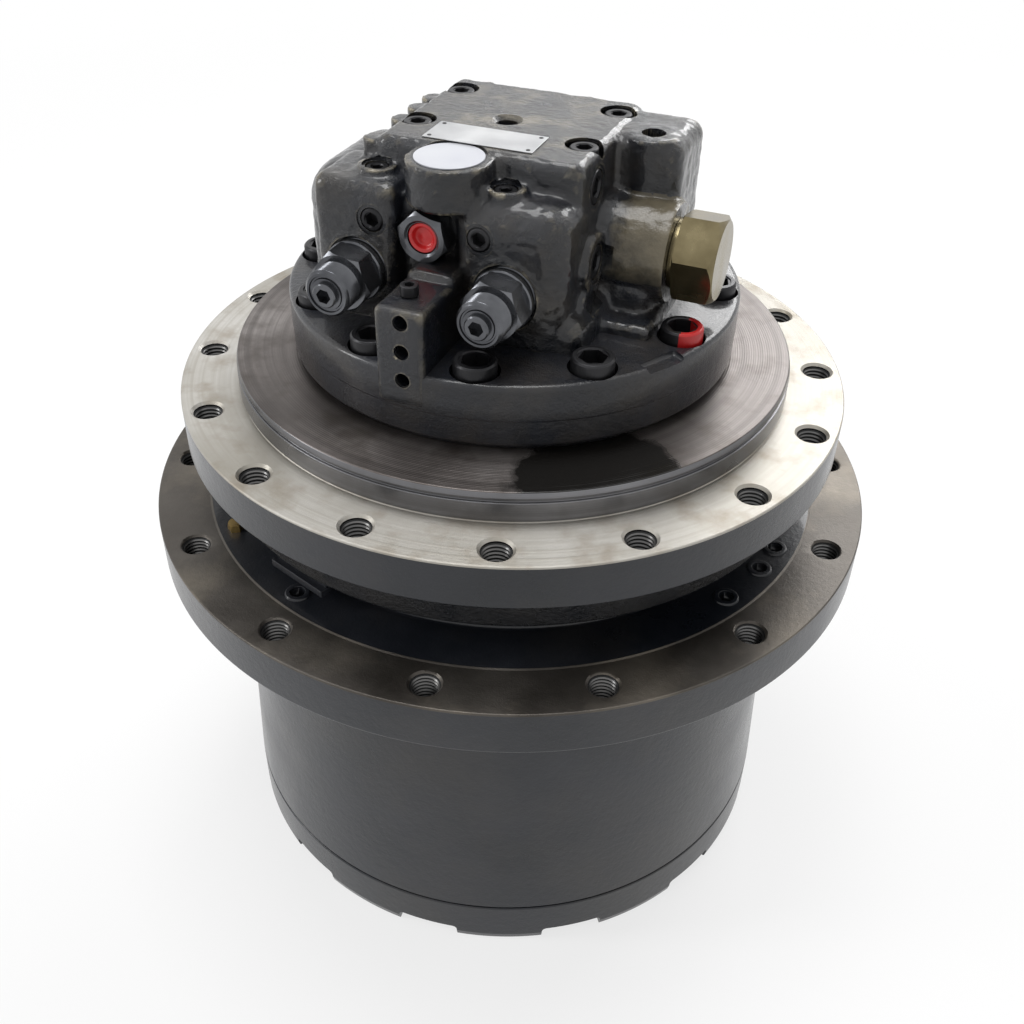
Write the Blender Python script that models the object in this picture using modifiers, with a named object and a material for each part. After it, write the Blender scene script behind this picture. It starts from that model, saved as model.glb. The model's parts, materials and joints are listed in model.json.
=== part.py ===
# Excavator final drive standing on its end cover, with the travel motor's port block on top.
# Lengths are in metres. The drum turns about the Z axis, and the origin is under the end cover.
# +X runs towards the hexagon plug of the counterbalance valve, and -Y towards the relief valves.

import math

import bmesh
import bpy
from mathutils import Matrix, Vector

# Fits and cutting
running_gap = 0.0003
cut_overrun = 0.002
free_gap = 0.004

# Facets round a circle
shell_sides = 36
ring_sides = 24
bore_sides = 16
bolt_sides = 12
shank_sides = 8
sharp_angle = math.radians(32)

# Sprocket flange and drum
sprocket_flange_radius = 0.234
sprocket_flange_thickness = 0.0297
sprocket_hole_count = 14
sprocket_hole_inset = 0.0176
sprocket_hole_radius = 0.0085
sprocket_hole_phase = math.radians(-157.3)
drum_length = 0.2039
drum_inset = 0.0495
drum_flare = 0.0085
drum_root_fillet = 0.004
drum_wall = 0.017
hub_neck_inset = 0.066
hub_neck_height = 0.028

# End cover
cover_rim_height = 0.0355
cover_rim_width = 0.040
cover_lug_root = 0.002
cover_lug_count = 12
cover_lug_angle = math.radians(17.5)
cover_lug_phase = math.radians(-68.9)
cover_notch_depth = 0.010
cover_lug_width = 0.022
cover_plate_thickness = 0.014
cover_spigot_height = 0.006
cover_spigot_width = 0.010
drain_plug_radius = 0.012
drain_plug_offset = 0.095
drain_plug_head = 0.005

# Frame flange, dish and seal skirt
flange_spacing = 0.051
frame_flange_inset = 0.026
frame_flange_thickness = 0.028
frame_hole_count = 16
frame_hole_inset = 0.0143
frame_hole_radius = 0.0085
frame_hole_phase = math.radians(-160.4)
dish_inset = 0.0355
dish_height = 0.0197
skirt_inset = 0.0145
skirt_depth = 0.029
skirt_wall = 0.017
skirt_draft = 0.003

# Floating seal and main bearings
seal_step = 0.008
seal_width = 0.020
seal_lower_height = 0.016
seal_lip = 0.004
bearing_section = 0.030
bearing_width = 0.032
bearing_taper = 0.004
bearing_shoulder = 0.008
bearing_spacing = 0.027
bearing_roller_depth = 0.006

# Reduction gear
ring_teeth = 54
sun_1_teeth = 12
sun_2_teeth = 18
planet_count = 3
addendum_share = 0.85
dedendum_share = 1.15
pressure_angle = math.radians(20)
tooth_backlash = 0.0005
gear_1_width = 0.034
gear_2_width = 0.055
planet_1_pin_radius = 0.020
planet_2_pin_radius = 0.024
carrier_1_thickness = 0.012
carrier_2_thickness = 0.018
carrier_rim = 0.010
carrier_clearance = 0.0009
carrier_collar_wall = 0.008
carrier_collar_height = 0.020
sun_bore_radius = 0.018
sun_neck_radius = 0.029
sun_shaft_share = 0.636
sun_neck_gap = 0.0006
shaft_engagement = 0.036

# Motor inside the spindle
motor_shaft_share = 0.256
shaft_journal_share = 0.186
shaft_journal_length = 0.020
chamber_wall = 0.014
chamber_step = 0.012
brake_bore_depth = 0.046
chamber_floor_thickness = 0.020
barrel_wall = 0.018
valve_plate_thickness = 0.006
valve_plate_share = 0.72
kidney_share = 0.488
kidney_width_share = 0.116
kidney_angle = math.radians(130)
cylinder_block_share = 0.767
cylinder_block_length = 0.050
cylinder_circle_share = 0.512
cylinder_count = 7
piston_share = 0.093
piston_depth = 0.028
piston_reach = 0.012
retainer_thickness = 0.005
retainer_rim_share = 0.128
swash_share = 0.814
shoe_gap = 0.0006
swash_thickness = 0.016
swash_angle = math.radians(12)
swash_bore_share = 0.372
swash_pivot_share = 0.523
pivot_pin_share = 0.081
pivot_tip_share = 0.333
pivot_gap = 0.0009
brake_disc_thickness = 0.004
brake_piston_width = 0.025
brake_piston_height = 0.030
brake_spring_wall = 0.0015

# Port block: base flange
base_radius = 0.1365
base_thickness = 0.042
base_chamfer = 0.005
base_bolt_count = 12
base_bolt_inset = 0.0155
base_bolt_phase = math.radians(12)
bolt_head_radius = 0.012
bolt_head_height = 0.016
bolt_head_stand = 0.006
bolt_shank_radius = 0.008
bolt_grip = 0.050
counterbore_margin = 0.0018

# Port block: main body, with places along X and Y from the drive's axis
body_left = -0.060
body_right = 0.060
body_front = -0.066
body_back = 0.052
body_step = 0.016
body_round = 0.009
shoulder_over_gauge = 0.0205
shoulder_front = -0.088
shoulder_back = -0.040
shoulder_left = -0.082
shoulder_left_inner = -0.036
shoulder_right_inner = -0.003
shoulder_right = 0.062
shoulder_round = 0.006
corner_round = 0.019
recess_front = -0.074
recess_over_port = 0.020
lobe_left = -0.110
lobe_back = 0.018
lobe_front = -0.052
lobe_drop = 0.0065
lobe_round = 0.024
rear_block_right = 0.097
rear_block_front = -0.006
rear_block_back = 0.048
rear_block_drop = 0.0015
rear_block_round = 0.010
rear_hole_radius = 0.0068
rear_hole_depth = 0.030
rear_hole_front = 0.013
rear_hole_right = 0.020
foot_step = 0.016
foot_front = -0.084
foot_back = 0.064
foot_left = -0.086
foot_right = 0.076
foot_round = 0.010
top_hole_radius = 0.0062
top_hole_depth = 0.022
top_hole_x = -0.003
top_hole_y = -0.009
round_boss_radius = 0.0232
round_boss_x = -0.010
round_boss_y = -0.071
round_boss_drop = 0.0015
round_boss_depth = 0.022
edge_lug_radius = 0.0075
edge_lug_stand = 0.003
edge_lug_drop = 0.004
edge_lug_depth = 0.034
left_lug_shares = (0.12, 0.40, 0.58, 0.74)
back_lug_shares = (0.14, 0.50, 0.68)

# Port block: spool boss and its plug
spool_axis_y = -0.010
spool_axis_height = 0.081
spool_boss_radius = 0.026
spool_boss_end = 0.101
spool_radius = 0.0115
spool_land_length = 0.020
spool_waist = 0.004
spool_left_end = -0.062
spool_stroke = 0.006
plug_across_flats = 0.044
plug_hex_length = 0.0235
plug_collar_radius = 0.0215
plug_collar_length = 0.003
plug_shank_radius = 0.0155
plug_shank_length = 0.016
plug_chamfer = 0.003
plug_chamfer_share = 1.6
plug_turn = math.radians(-12.5)

# Port block: relief valves, port fitting and flush plugs
valve_clearance = 0.00468
valve_left_x = -0.059
valve_right_x = 0.029
valve_bore_radius = 0.0140
valve_bore_depth = 0.032
valve_spotface_radius = 0.0185
valve_spotface_depth = 0.003
valve_collar_radius = 0.0165
valve_collar_length = 0.008
valve_across_flats = 0.030
valve_hex_length = 0.013
valve_cap_radius = 0.0128
valve_cap_length = 0.011
valve_boss_radius = 0.0069
valve_boss_length = 0.003
valve_socket_radius = 0.0046
valve_socket_depth = 0.006
port_x = -0.0195
port_over_valve = 0.024
port_bore_radius = 0.0095
port_bore_depth = 0.022
port_across_flats = 0.022
port_hex_length = 0.010
port_opening_radius = 0.0072
port_opening_depth = 0.009
port_cap_head_radius = 0.0082
port_cap_head_length = 0.004
port_cap_dome = 0.002
flush_plug_radius = 0.0065
flush_plug_length = 0.012
gauge_left_x = -0.049
gauge_right_x = 0.0135
gauge_over_valve = 0.0295
shoulder_plug_left_x = -0.054
shoulder_plug_right_x = 0.024
shoulder_plug_y = -0.067
side_plug_radius = 0.0095
side_lower_y = -0.047
side_lower_over_valve = 0.010
side_upper_y = -0.035
side_upper_drop = 0.003
side_upper_length = 0.005
side_boss_radius = 0.016
side_boss_stand = 0.004

# Port block: screws, tab and nameplate in the top and front
block_screw_x = 0.049
block_screw_y_front = -0.028
block_screw_y_back = 0.031
block_screw_head_radius = 0.008
block_screw_head_height = 0.008
block_screw_shank_radius = 0.005
block_screw_grip = 0.016
block_screw_sink = 0.001
tab_left = -0.0208
tab_right = 0.0037
tab_front = -0.137
tab_back = -0.095
tab_over_valve = 0.007
tab_round = 0.003
tab_hole_radius = 0.0038
tab_hole_depth = 0.014
tab_hole_spacing = 0.0168
tab_hole_drop = 0.0068
tab_screw_head_radius = 0.005
tab_screw_head_height = 0.006
tab_screw_shank_radius = 0.003
tab_screw_grip = 0.010
tab_screw_x = -0.012
tab_screw_y = -0.118
nameplate_length = 0.059
nameplate_width = 0.025
nameplate_thickness = 0.0008
nameplate_x = -0.002
nameplate_y = -0.041
nameplate_turn = math.radians(1.5)

# Heights above the port block's underside
valve_corner_radius = valve_across_flats / 2 / math.cos(math.pi / 6)
valve_axis_height = base_thickness + bolt_head_stand + valve_corner_radius + valve_clearance
port_height = valve_axis_height + port_over_valve
gauge_height = valve_axis_height + gauge_over_valve
shoulder_height = gauge_height + shoulder_over_gauge
body_height = shoulder_height + body_step
recess_height = port_height + recess_over_port
lobe_height = shoulder_height - lobe_drop
foot_height = base_thickness + foot_step
side_lower_height = valve_axis_height + side_lower_over_valve
side_upper_height = shoulder_height - side_upper_drop
tab_height = valve_axis_height + tab_over_valve

# Levels above the cover's lugs
drum_bottom = cover_rim_height
flange_bottom = drum_bottom + drum_length
flange_top = flange_bottom + sprocket_flange_thickness
hub_top = flange_top + hub_neck_height
frame_bottom = flange_top + flange_spacing
frame_top = frame_bottom + frame_flange_thickness
dish_top = frame_top + dish_height
skirt_bottom = frame_bottom - skirt_depth
base_bottom = dish_top + running_gap
base_top = base_bottom + base_thickness
head_top = base_bottom + body_height
shoulder_top = base_bottom + shoulder_height
spigot_top = drum_bottom + cover_spigot_height
gear_1_bottom = spigot_top + free_gap
gear_1_top = gear_1_bottom + gear_1_width
carrier_1_bottom = gear_1_top + running_gap
carrier_1_top = carrier_1_bottom + carrier_1_thickness
gear_2_bottom = carrier_1_top + free_gap
gear_2_top = gear_2_bottom + gear_2_width
carrier_2_bottom = gear_2_top + running_gap
carrier_2_top = carrier_2_bottom + carrier_2_thickness
spindle_bottom = carrier_2_top + running_gap
lower_bearing_top = spindle_bottom + bearing_width
upper_bearing_bottom = lower_bearing_top + bearing_spacing
upper_bearing_top = upper_bearing_bottom + bearing_width
brake_step = dish_top - brake_bore_depth
valve_plate_bottom = dish_top - valve_plate_thickness
block_top = valve_plate_bottom - running_gap
block_bottom = block_top - cylinder_block_length
shoe_level = block_bottom - piston_reach
seal_ceiling = frame_bottom - 2 * free_gap

# Radii that follow from the driving sizes
sprocket_hole_circle = sprocket_flange_radius - sprocket_hole_inset
frame_flange_radius = sprocket_flange_radius - frame_flange_inset
dish_radius = frame_flange_radius - dish_inset
frame_hole_circle = frame_flange_radius - frame_hole_inset
drum_top_radius = sprocket_flange_radius - drum_inset
drum_bottom_radius = drum_top_radius + drum_flare
hub_neck_radius = sprocket_flange_radius - hub_neck_inset
skirt_radius = frame_flange_radius - skirt_inset
ring_root_radius = drum_top_radius - drum_wall
gear_module = ring_root_radius / (ring_teeth / 2 + dedendum_share)
planet_1_teeth = (ring_teeth - sun_1_teeth) // 2
planet_2_teeth = (ring_teeth - sun_2_teeth) // 2
planet_1_circle = gear_module * (sun_1_teeth + planet_1_teeth) / 2
planet_2_circle = gear_module * (sun_2_teeth + planet_2_teeth) / 2
bearing_outer_radius = planet_2_circle + planet_2_pin_radius + carrier_rim + carrier_clearance
bearing_inner_radius = bearing_outer_radius - bearing_section
seal_outer_radius = bearing_outer_radius + seal_step
chamber_radius = bearing_inner_radius - chamber_wall
swash_chamber_radius = chamber_radius - chamber_step
cavity_radius = bearing_inner_radius - barrel_wall - chamber_step
motor_shaft_radius = swash_chamber_radius * motor_shaft_share
shaft_journal_radius = swash_chamber_radius * shaft_journal_share
sun_shaft_radius = motor_shaft_radius * sun_shaft_share
valve_plate_radius = swash_chamber_radius * valve_plate_share
kidney_radius = swash_chamber_radius * kidney_share
kidney_width = swash_chamber_radius * kidney_width_share
cylinder_block_radius = swash_chamber_radius * cylinder_block_share
cylinder_circle = swash_chamber_radius * cylinder_circle_share
piston_radius = swash_chamber_radius * piston_share
retainer_rim = swash_chamber_radius * retainer_rim_share
swash_radius = swash_chamber_radius * swash_share
swash_bore_radius = swash_chamber_radius * swash_bore_share
swash_pivot_offset = swash_chamber_radius * swash_pivot_share
swash_pivot_radius = swash_chamber_radius * pivot_pin_share
base_bolt_circle = base_radius - base_bolt_inset


def clear_radius(radius, sides):
    """Corner radius of a bore with so many sides whose flats still clear the given radius."""
    return radius / math.cos(math.pi / sides)


def inside_radius(radius, sides):
    """Radius that stays inside a bore with so many sides and the given corner radius."""
    return radius * math.cos(math.pi / sides)


object_parts = bpy.data.collections.new("final_drive")
helper_parts = bpy.data.collections.new("cutters")


def clear_scene():
    for old in list(bpy.data.objects):
        bpy.data.objects.remove(old, do_unlink=True)
    scene_collection = bpy.context.scene.collection
    scene_collection.children.link(object_parts)
    scene_collection.children.link(helper_parts)
    helper_parts.hide_render = True


def make_material(name, colour, roughness, metallic):
    material = bpy.data.materials.new(name)
    material.use_nodes = True
    shader = material.node_tree.nodes["Principled BSDF"]
    shader.inputs["Base Color"].default_value = (*colour, 1)
    shader.inputs["Roughness"].default_value = roughness
    shader.inputs["Metallic"].default_value = metallic
    return material


def add_object(name, mesh, material=None, parent=None):
    obj = bpy.data.objects.new(name, mesh)
    if material:
        object_parts.objects.link(obj)
        if not mesh.materials:
            mesh.materials.append(material)
    else:
        helper_parts.objects.link(obj)
        obj.hide_render = True
        obj.display_type = "WIRE"
    obj.parent = parent
    return obj


def mesh_from(shape, name):
    mesh = bpy.data.meshes.new(name)
    shape.to_mesh(mesh)
    shape.free()
    return mesh


def turned(name, profile, steps, material=None, parent=None, location=(0, 0, 0)):
    """A profile of (radius, height) points turned about Z, down its outer side first."""
    mesh = bpy.data.meshes.new(name)
    last = len(profile) - 1
    edges = [(i, i + 1) for i in range(last)]
    if profile[0][0] > 0:
        edges.append((last, 0))
    mesh.from_pydata([(radius, 0, height) for radius, height in profile], edges, [])
    obj = add_object(name, mesh, material, parent)
    obj.location = location
    screw = obj.modifiers.new("Turn", "SCREW")
    screw.steps = steps
    screw.render_steps = steps
    screw.use_merge_vertices = True
    screw.merge_threshold = 0.00001
    return obj


def cylinder(name, radius, low, high, sides, material=None, parent=None, axis="Z", tip_radius=None):
    """A cylinder or cone from point low to point high, which differ only along the given axis."""
    start = Vector(low)
    end = Vector(high)
    turn = {"X": Matrix.Rotation(math.pi / 2, 4, "Y"), "Y": Matrix.Rotation(-math.pi / 2, 4, "X")}
    place = Matrix.Translation((start + end) / 2) @ turn.get(axis, Matrix())
    shape = bmesh.new()
    bmesh.ops.create_cone(
        shape,
        cap_ends=True,
        segments=sides,
        radius1=radius,
        radius2=radius if tip_radius is None else tip_radius,
        depth=(end - start).length,
        matrix=place,
    )
    return add_object(name, mesh_from(shape, name), material, parent)


def hole_ring(name, count, circle, phase, radius, low, high):
    """Cutters for equal holes round the Z axis."""
    shape = bmesh.new()
    for index in range(count):
        angle = phase + index * math.tau / count
        place = Matrix.Translation((circle * math.cos(angle), circle * math.sin(angle), (low + high) / 2))
        bmesh.ops.create_cone(
            shape,
            cap_ends=True,
            segments=shank_sides,
            radius1=radius,
            radius2=radius,
            depth=high - low,
            matrix=place,
        )
    return add_object(name, mesh_from(shape, name))


def rounded_box(name, low, high, edge_round, rounds=2, material=None, parent=None):
    size = Vector(high) - Vector(low)
    shape = bmesh.new()
    bmesh.ops.create_cube(shape, size=1, matrix=Matrix.Diagonal((*size, 1)))
    bmesh.ops.translate(shape, verts=shape.verts, vec=(Vector(high) + Vector(low)) / 2)
    obj = add_object(name, mesh_from(shape, name), material, parent)
    if edge_round:
        bevel = obj.modifiers.new("Rounding", "BEVEL")
        bevel.width = min(edge_round, min(size) / 2.2)
        bevel.segments = rounds
    return obj


def combine(target, other, operation):
    boolean = target.modifiers.new(operation.title() + " " + other.name, "BOOLEAN")
    boolean.operation = operation
    boolean.object = other


def cut(target, *cutters):
    for cutter in cutters:
        combine(target, cutter, "DIFFERENCE")


def join(target, *others):
    for other in others:
        combine(target, other, "UNION")


def involute(angle):
    return math.tan(angle) - angle


def toothed_outline(teeth, inward=False):
    """Points of a gear's outline, with a tooth centred on +X and its flanks drawn straight between
    involute points. An internal gear's outline is that of its tooth spaces."""
    pitch = gear_module * teeth / 2
    base = pitch * math.cos(pressure_angle)
    inner = pitch - gear_module * (addendum_share if inward else dedendum_share)
    outer = pitch + gear_module * (dedendum_share if inward else addendum_share)
    slack = tooth_backlash / 2 / pitch
    half_at_pitch = math.pi / (2 * teeth) + (slack if inward else -slack)
    points = []
    for tooth in range(teeth):
        middle = tooth * math.tau / teeth
        for radius, side in ((inner, -1), (outer, -1), (outer, 1), (inner, 1)):
            flank = math.acos(min(1, base / radius))
            angle = middle + side * (half_at_pitch + involute(pressure_angle) - involute(flank))
            points.append((radius * math.cos(angle), radius * math.sin(angle)))
    return points


def round_outline(radius, sides):
    step = math.tau / sides
    return [(radius * math.cos(i * step), radius * math.sin(i * step)) for i in range(sides)]


def flat_shape(name, outlines, thickness):
    """A flat outline with holes, extruded to its thickness about its own middle, as a mesh."""
    curve = bpy.data.curves.new(name, "CURVE")
    curve.dimensions = "2D"
    curve.fill_mode = "BOTH"
    curve.extrude = thickness / 2
    for outline in outlines:
        spline = curve.splines.new("POLY")
        spline.points.add(len(outline) - 1)
        for point, (x, y) in zip(spline.points, outline):
            point.co = (x, y, 0, 1)
        spline.use_cyclic_u = True
    source = bpy.data.objects.new(name, curve)
    helper_parts.objects.link(source)
    graph = bpy.context.evaluated_depsgraph_get()
    mesh = bpy.data.meshes.new_from_object(source.evaluated_get(graph))
    bpy.data.objects.remove(source)
    shape = bmesh.new()
    shape.from_mesh(mesh)
    bmesh.ops.remove_doubles(shape, verts=shape.verts, dist=running_gap / 10)
    bmesh.ops.recalc_face_normals(shape, faces=shape.faces)
    shape.to_mesh(mesh)
    shape.free()
    return mesh


def empty_at(name, location, parent=None):
    empty = bpy.data.objects.new(name, None)
    object_parts.objects.link(empty)
    empty.location = location
    empty.parent = parent
    return empty


cast_black = (0.022, 0.023, 0.026)
machined_grey = (0.30, 0.29, 0.28)
steel_grey = (0.17, 0.17, 0.18)
screw_black = (0.03, 0.03, 0.033)
zinc_olive = (0.29, 0.25, 0.14)


def build_hub():
    """Drum with the sprocket flange and the ring gear's teeth."""
    material = make_material("hub_paint", cast_black, 0.45, 0.6)
    rim_bore = ring_root_radius + free_gap / 2
    profile = [
        (seal_outer_radius, hub_top),
        (hub_neck_radius, hub_top),
        (hub_neck_radius, flange_top),
        (sprocket_flange_radius, flange_top),
        (sprocket_flange_radius, flange_bottom),
        (drum_top_radius + drum_root_fillet, flange_bottom),
        (drum_top_radius, flange_bottom - drum_root_fillet),
        (drum_bottom_radius, drum_bottom),
        (rim_bore, drum_bottom),
        (rim_bore, spigot_top + running_gap),
        (bearing_outer_radius, spigot_top + running_gap),
        (bearing_outer_radius, lower_bearing_top + running_gap),
        (bearing_outer_radius - bearing_shoulder, lower_bearing_top + running_gap),
        (bearing_outer_radius - bearing_shoulder, upper_bearing_bottom - running_gap),
        (bearing_outer_radius, upper_bearing_bottom - running_gap),
        (bearing_outer_radius, upper_bearing_top + free_gap),
        (seal_outer_radius, upper_bearing_top + free_gap),
    ]
    hub = turned("hub", profile, shell_sides, material)
    tooth_depth = gear_2_top + free_gap - spigot_top + cut_overrun
    tooth_mesh = flat_shape("ring_teeth", [toothed_outline(ring_teeth, inward=True)], tooth_depth)
    tooth_cutter = add_object("ring_teeth", tooth_mesh)
    tooth_cutter.location.z = gear_2_top + free_gap - tooth_depth / 2
    holes = hole_ring(
        "sprocket_holes",
        sprocket_hole_count,
        sprocket_hole_circle,
        sprocket_hole_phase,
        sprocket_hole_radius,
        flange_bottom - cut_overrun,
        flange_top + cut_overrun,
    )
    cut(hub, tooth_cutter, holes)
    return hub


def build_end_cover(hub):
    material = make_material("cover_paint", cast_black, 0.5, 0.5)
    rim_top = drum_bottom - running_gap
    rim_inner = drum_bottom_radius - cover_rim_width
    spigot_outer = ring_root_radius + free_gap / 2 - running_gap
    plate_bottom = cover_notch_depth
    plate_top = plate_bottom + cover_plate_thickness
    profile = [
        (0, plate_top),
        (rim_inner, plate_top),
        (spigot_outer - cover_spigot_width, spigot_top - running_gap),
        (spigot_outer, spigot_top - running_gap),
        (spigot_outer, rim_top),
        (drum_bottom_radius, rim_top),
        (drum_bottom_radius, plate_bottom),
        (0, plate_bottom),
    ]
    cover = turned("end_cover", profile, shell_sides, material, hub)
    ring = turned(
        "lug_ring",
        [
            (drum_bottom_radius - cover_lug_width, plate_bottom + cover_lug_root),
            (drum_bottom_radius, plate_bottom + cover_lug_root),
            (drum_bottom_radius, 0),
            (drum_bottom_radius - cover_lug_width, 0),
        ],
        shell_sides,
    )
    notch_reach = drum_bottom_radius + cut_overrun
    for index in range(cover_lug_count):
        middle = cover_lug_phase + (index + 0.5) * math.tau / cover_lug_count
        half = math.pi / cover_lug_count - cover_lug_angle / 2
        notch = flat_shape(
            "notch",
            [wedge_outline(drum_bottom_radius - cover_lug_width - cut_overrun, notch_reach, middle, half)],
            2 * cover_notch_depth,
        )
        cut(ring, add_object("notch", notch))
    join(cover, ring)
    plug_hole = cylinder(
        "drain_hole",
        drain_plug_radius - drain_plug_head / 2,
        (drain_plug_offset, 0, plate_bottom - cut_overrun),
        (drain_plug_offset, 0, plate_top + cut_overrun),
        bolt_sides,
    )
    cut(cover, plug_hole)
    shank_radius = drain_plug_radius - drain_plug_head / 2 - running_gap
    plug_profile = [
        (0, plate_top - running_gap),
        (shank_radius, plate_top - running_gap),
        (shank_radius, plate_bottom - running_gap),
        (drain_plug_radius, plate_bottom - running_gap),
        (drain_plug_radius, plate_bottom - running_gap - drain_plug_head),
        (0, plate_bottom - running_gap - drain_plug_head),
    ]
    turned(
        "drain_plug",
        plug_profile,
        bolt_sides,
        make_material("plug_steel", steel_grey, 0.45, 0.9),
        hub,
        (drain_plug_offset, 0, 0),
    )


def wedge_outline(inner, outer, middle, half, points=2):
    """A sector of a ring, as straight runs inside two arcs."""
    steps = [middle - half + 2 * half * i / points for i in range(points + 1)]
    far = [(outer * math.cos(a), outer * math.sin(a)) for a in steps]
    near = [(inner * math.cos(a), inner * math.sin(a)) for a in reversed(steps)]
    return far + near


def build_spindle():
    """Fixed casting: dish, frame flange, skirt and the barrel that holds the motor."""
    material = make_material("spindle_steel", machined_grey, 0.35, 0.9)
    barrel_radius = bearing_inner_radius
    floor_top = shoe_level - swash_drop() - free_gap
    profile = [
        (chamber_radius, dish_top),
        (dish_radius, dish_top),
        (dish_radius, frame_top),
        (frame_flange_radius, frame_top),
        (frame_flange_radius, frame_bottom),
        (skirt_radius, frame_bottom),
        (skirt_radius - skirt_draft, skirt_bottom),
        (skirt_radius - skirt_wall, skirt_bottom),
        (skirt_radius - skirt_wall, seal_ceiling),
        (barrel_radius + bearing_shoulder, seal_ceiling),
        (barrel_radius + bearing_shoulder, upper_bearing_top + running_gap),
        (barrel_radius, upper_bearing_top + running_gap),
        (barrel_radius, spindle_bottom),
        (cavity_radius, spindle_bottom),
        (cavity_radius, floor_top - chamber_floor_thickness),
        (motor_shaft_radius + running_gap, floor_top - chamber_floor_thickness),
        (motor_shaft_radius + running_gap, floor_top),
        (swash_chamber_radius, floor_top),
        (swash_chamber_radius, brake_step),
        (chamber_radius, brake_step),
    ]
    spindle = turned("spindle", profile, shell_sides, material)
    frame_holes = hole_ring(
        "frame_holes",
        frame_hole_count,
        frame_hole_circle,
        frame_hole_phase,
        frame_hole_radius,
        frame_bottom - cut_overrun,
        frame_top + cut_overrun,
    )
    motor_holes = hole_ring(
        "motor_bolt_holes",
        base_bolt_count,
        base_bolt_circle,
        base_bolt_phase,
        bolt_shank_radius + running_gap,
        base_bottom + base_thickness - bolt_grip - free_gap,
        dish_top + cut_overrun,
    )
    cut(spindle, frame_holes, motor_holes)
    swash_bottom = swash_pivot_level()
    for side in (-1, 1):
        post = cylinder(
            "pivot_post",
            swash_pivot_radius,
            (side * swash_pivot_offset, 0, floor_top - cut_overrun),
            (side * swash_pivot_offset, 0, swash_bottom - pivot_gap),
            shank_sides,
            tip_radius=swash_pivot_radius * pivot_tip_share,
        )
        join(spindle, post)
    return spindle


def swash_top_level():
    """Height of the swash plate's upper face on the drive's axis."""
    reach = cylinder_circle + retainer_rim
    return shoe_level - shoe_gap - reach * math.tan(swash_angle)


def swash_pivot_level():
    """Height of the swash plate's lower face on the drive's axis, where it rests on its pivots."""
    return swash_top_level() - swash_thickness / math.cos(swash_angle)


def swash_drop():
    """How far the swash plate's lowest edge lies under the shoes."""
    edge = swash_radius * math.sin(swash_angle)
    return shoe_level - swash_pivot_level() + edge


def build_bearings(spindle, hub):
    race_steel = make_material("race_steel", (0.55, 0.55, 0.56), 0.25, 1)
    split = (bearing_inner_radius + bearing_outer_radius) / 2 + bearing_roller_depth / 2
    seat = clear_radius(bearing_inner_radius + running_gap, ring_sides)
    outer = inside_radius(bearing_outer_radius, shell_sides) - running_gap
    track = clear_radius(split, ring_sides)
    for place, bottom, flip in (("lower", spindle_bottom, 1), ("upper", upper_bearing_bottom, -1)):
        top = bottom + bearing_width
        lean = flip * bearing_taper / 2
        roller = split - running_gap
        cone_profile = [(seat, top), (roller - lean, top), (roller + lean, bottom), (seat, bottom)]
        cup_profile = [(track - lean, top), (outer, top), (outer, bottom), (track + lean, bottom)]
        turned("bearing_cone_" + place, cone_profile, ring_sides, race_steel, spindle)
        turned("bearing_cup_" + place, cup_profile, ring_sides, race_steel, hub)


def build_seal(spindle, hub):
    seal_steel = make_material("seal_steel", (0.42, 0.42, 0.43), 0.3, 1)
    seat = upper_bearing_top + free_gap + running_gap
    middle = seat + seal_lower_height
    outer = inside_radius(seal_outer_radius, shell_sides) - running_gap
    inner = outer - seal_width
    lower_profile = [
        (inner, middle),
        (outer - seal_lip, middle),
        (outer, seat),
        (inner, seat),
    ]
    upper_profile = [
        (inner, seal_ceiling - running_gap),
        (outer, seal_ceiling - running_gap),
        (outer - seal_lip, middle + running_gap),
        (inner, middle + running_gap),
    ]
    turned("seal_ring_lower", lower_profile, ring_sides, seal_steel, hub)
    turned("seal_ring_upper", upper_profile, ring_sides, seal_steel, spindle)


def build_carrier(name, circle, pin_radius, plate_low, plate_high, pin_low, bore, material, parent):
    """A round plate with planet pins under it."""
    rim = circle + pin_radius + carrier_rim
    plate = turned(
        name,
        [(bore, plate_high), (rim, plate_high), (rim, plate_low), (bore, plate_low)],
        ring_sides,
        material,
        parent,
    )
    for index in range(planet_count):
        angle = index * math.tau / planet_count
        x = circle * math.cos(angle)
        y = circle * math.sin(angle)
        middle = (plate_low + plate_high) / 2
        join(plate, cylinder(name + "_pin", pin_radius, (x, y, pin_low), (x, y, middle), bolt_sides))
    return plate


def build_planets(name, teeth, circle, width, bottom, pin_radius, parent):
    material = make_material(name + "_steel", steel_grey, 0.3, 1)
    bore = pin_radius + running_gap
    outlines = [toothed_outline(teeth), round_outline(bore / math.cos(math.pi / bolt_sides), bolt_sides)]
    mesh = flat_shape(name, outlines, width)
    for index in range(planet_count):
        angle = index * math.tau / planet_count
        planet = add_object(name + "_" + str(index + 1), mesh, material, parent)
        planet.location = (circle * math.cos(angle), circle * math.sin(angle), bottom + width / 2)
        planet.rotation_euler.z = angle


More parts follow.
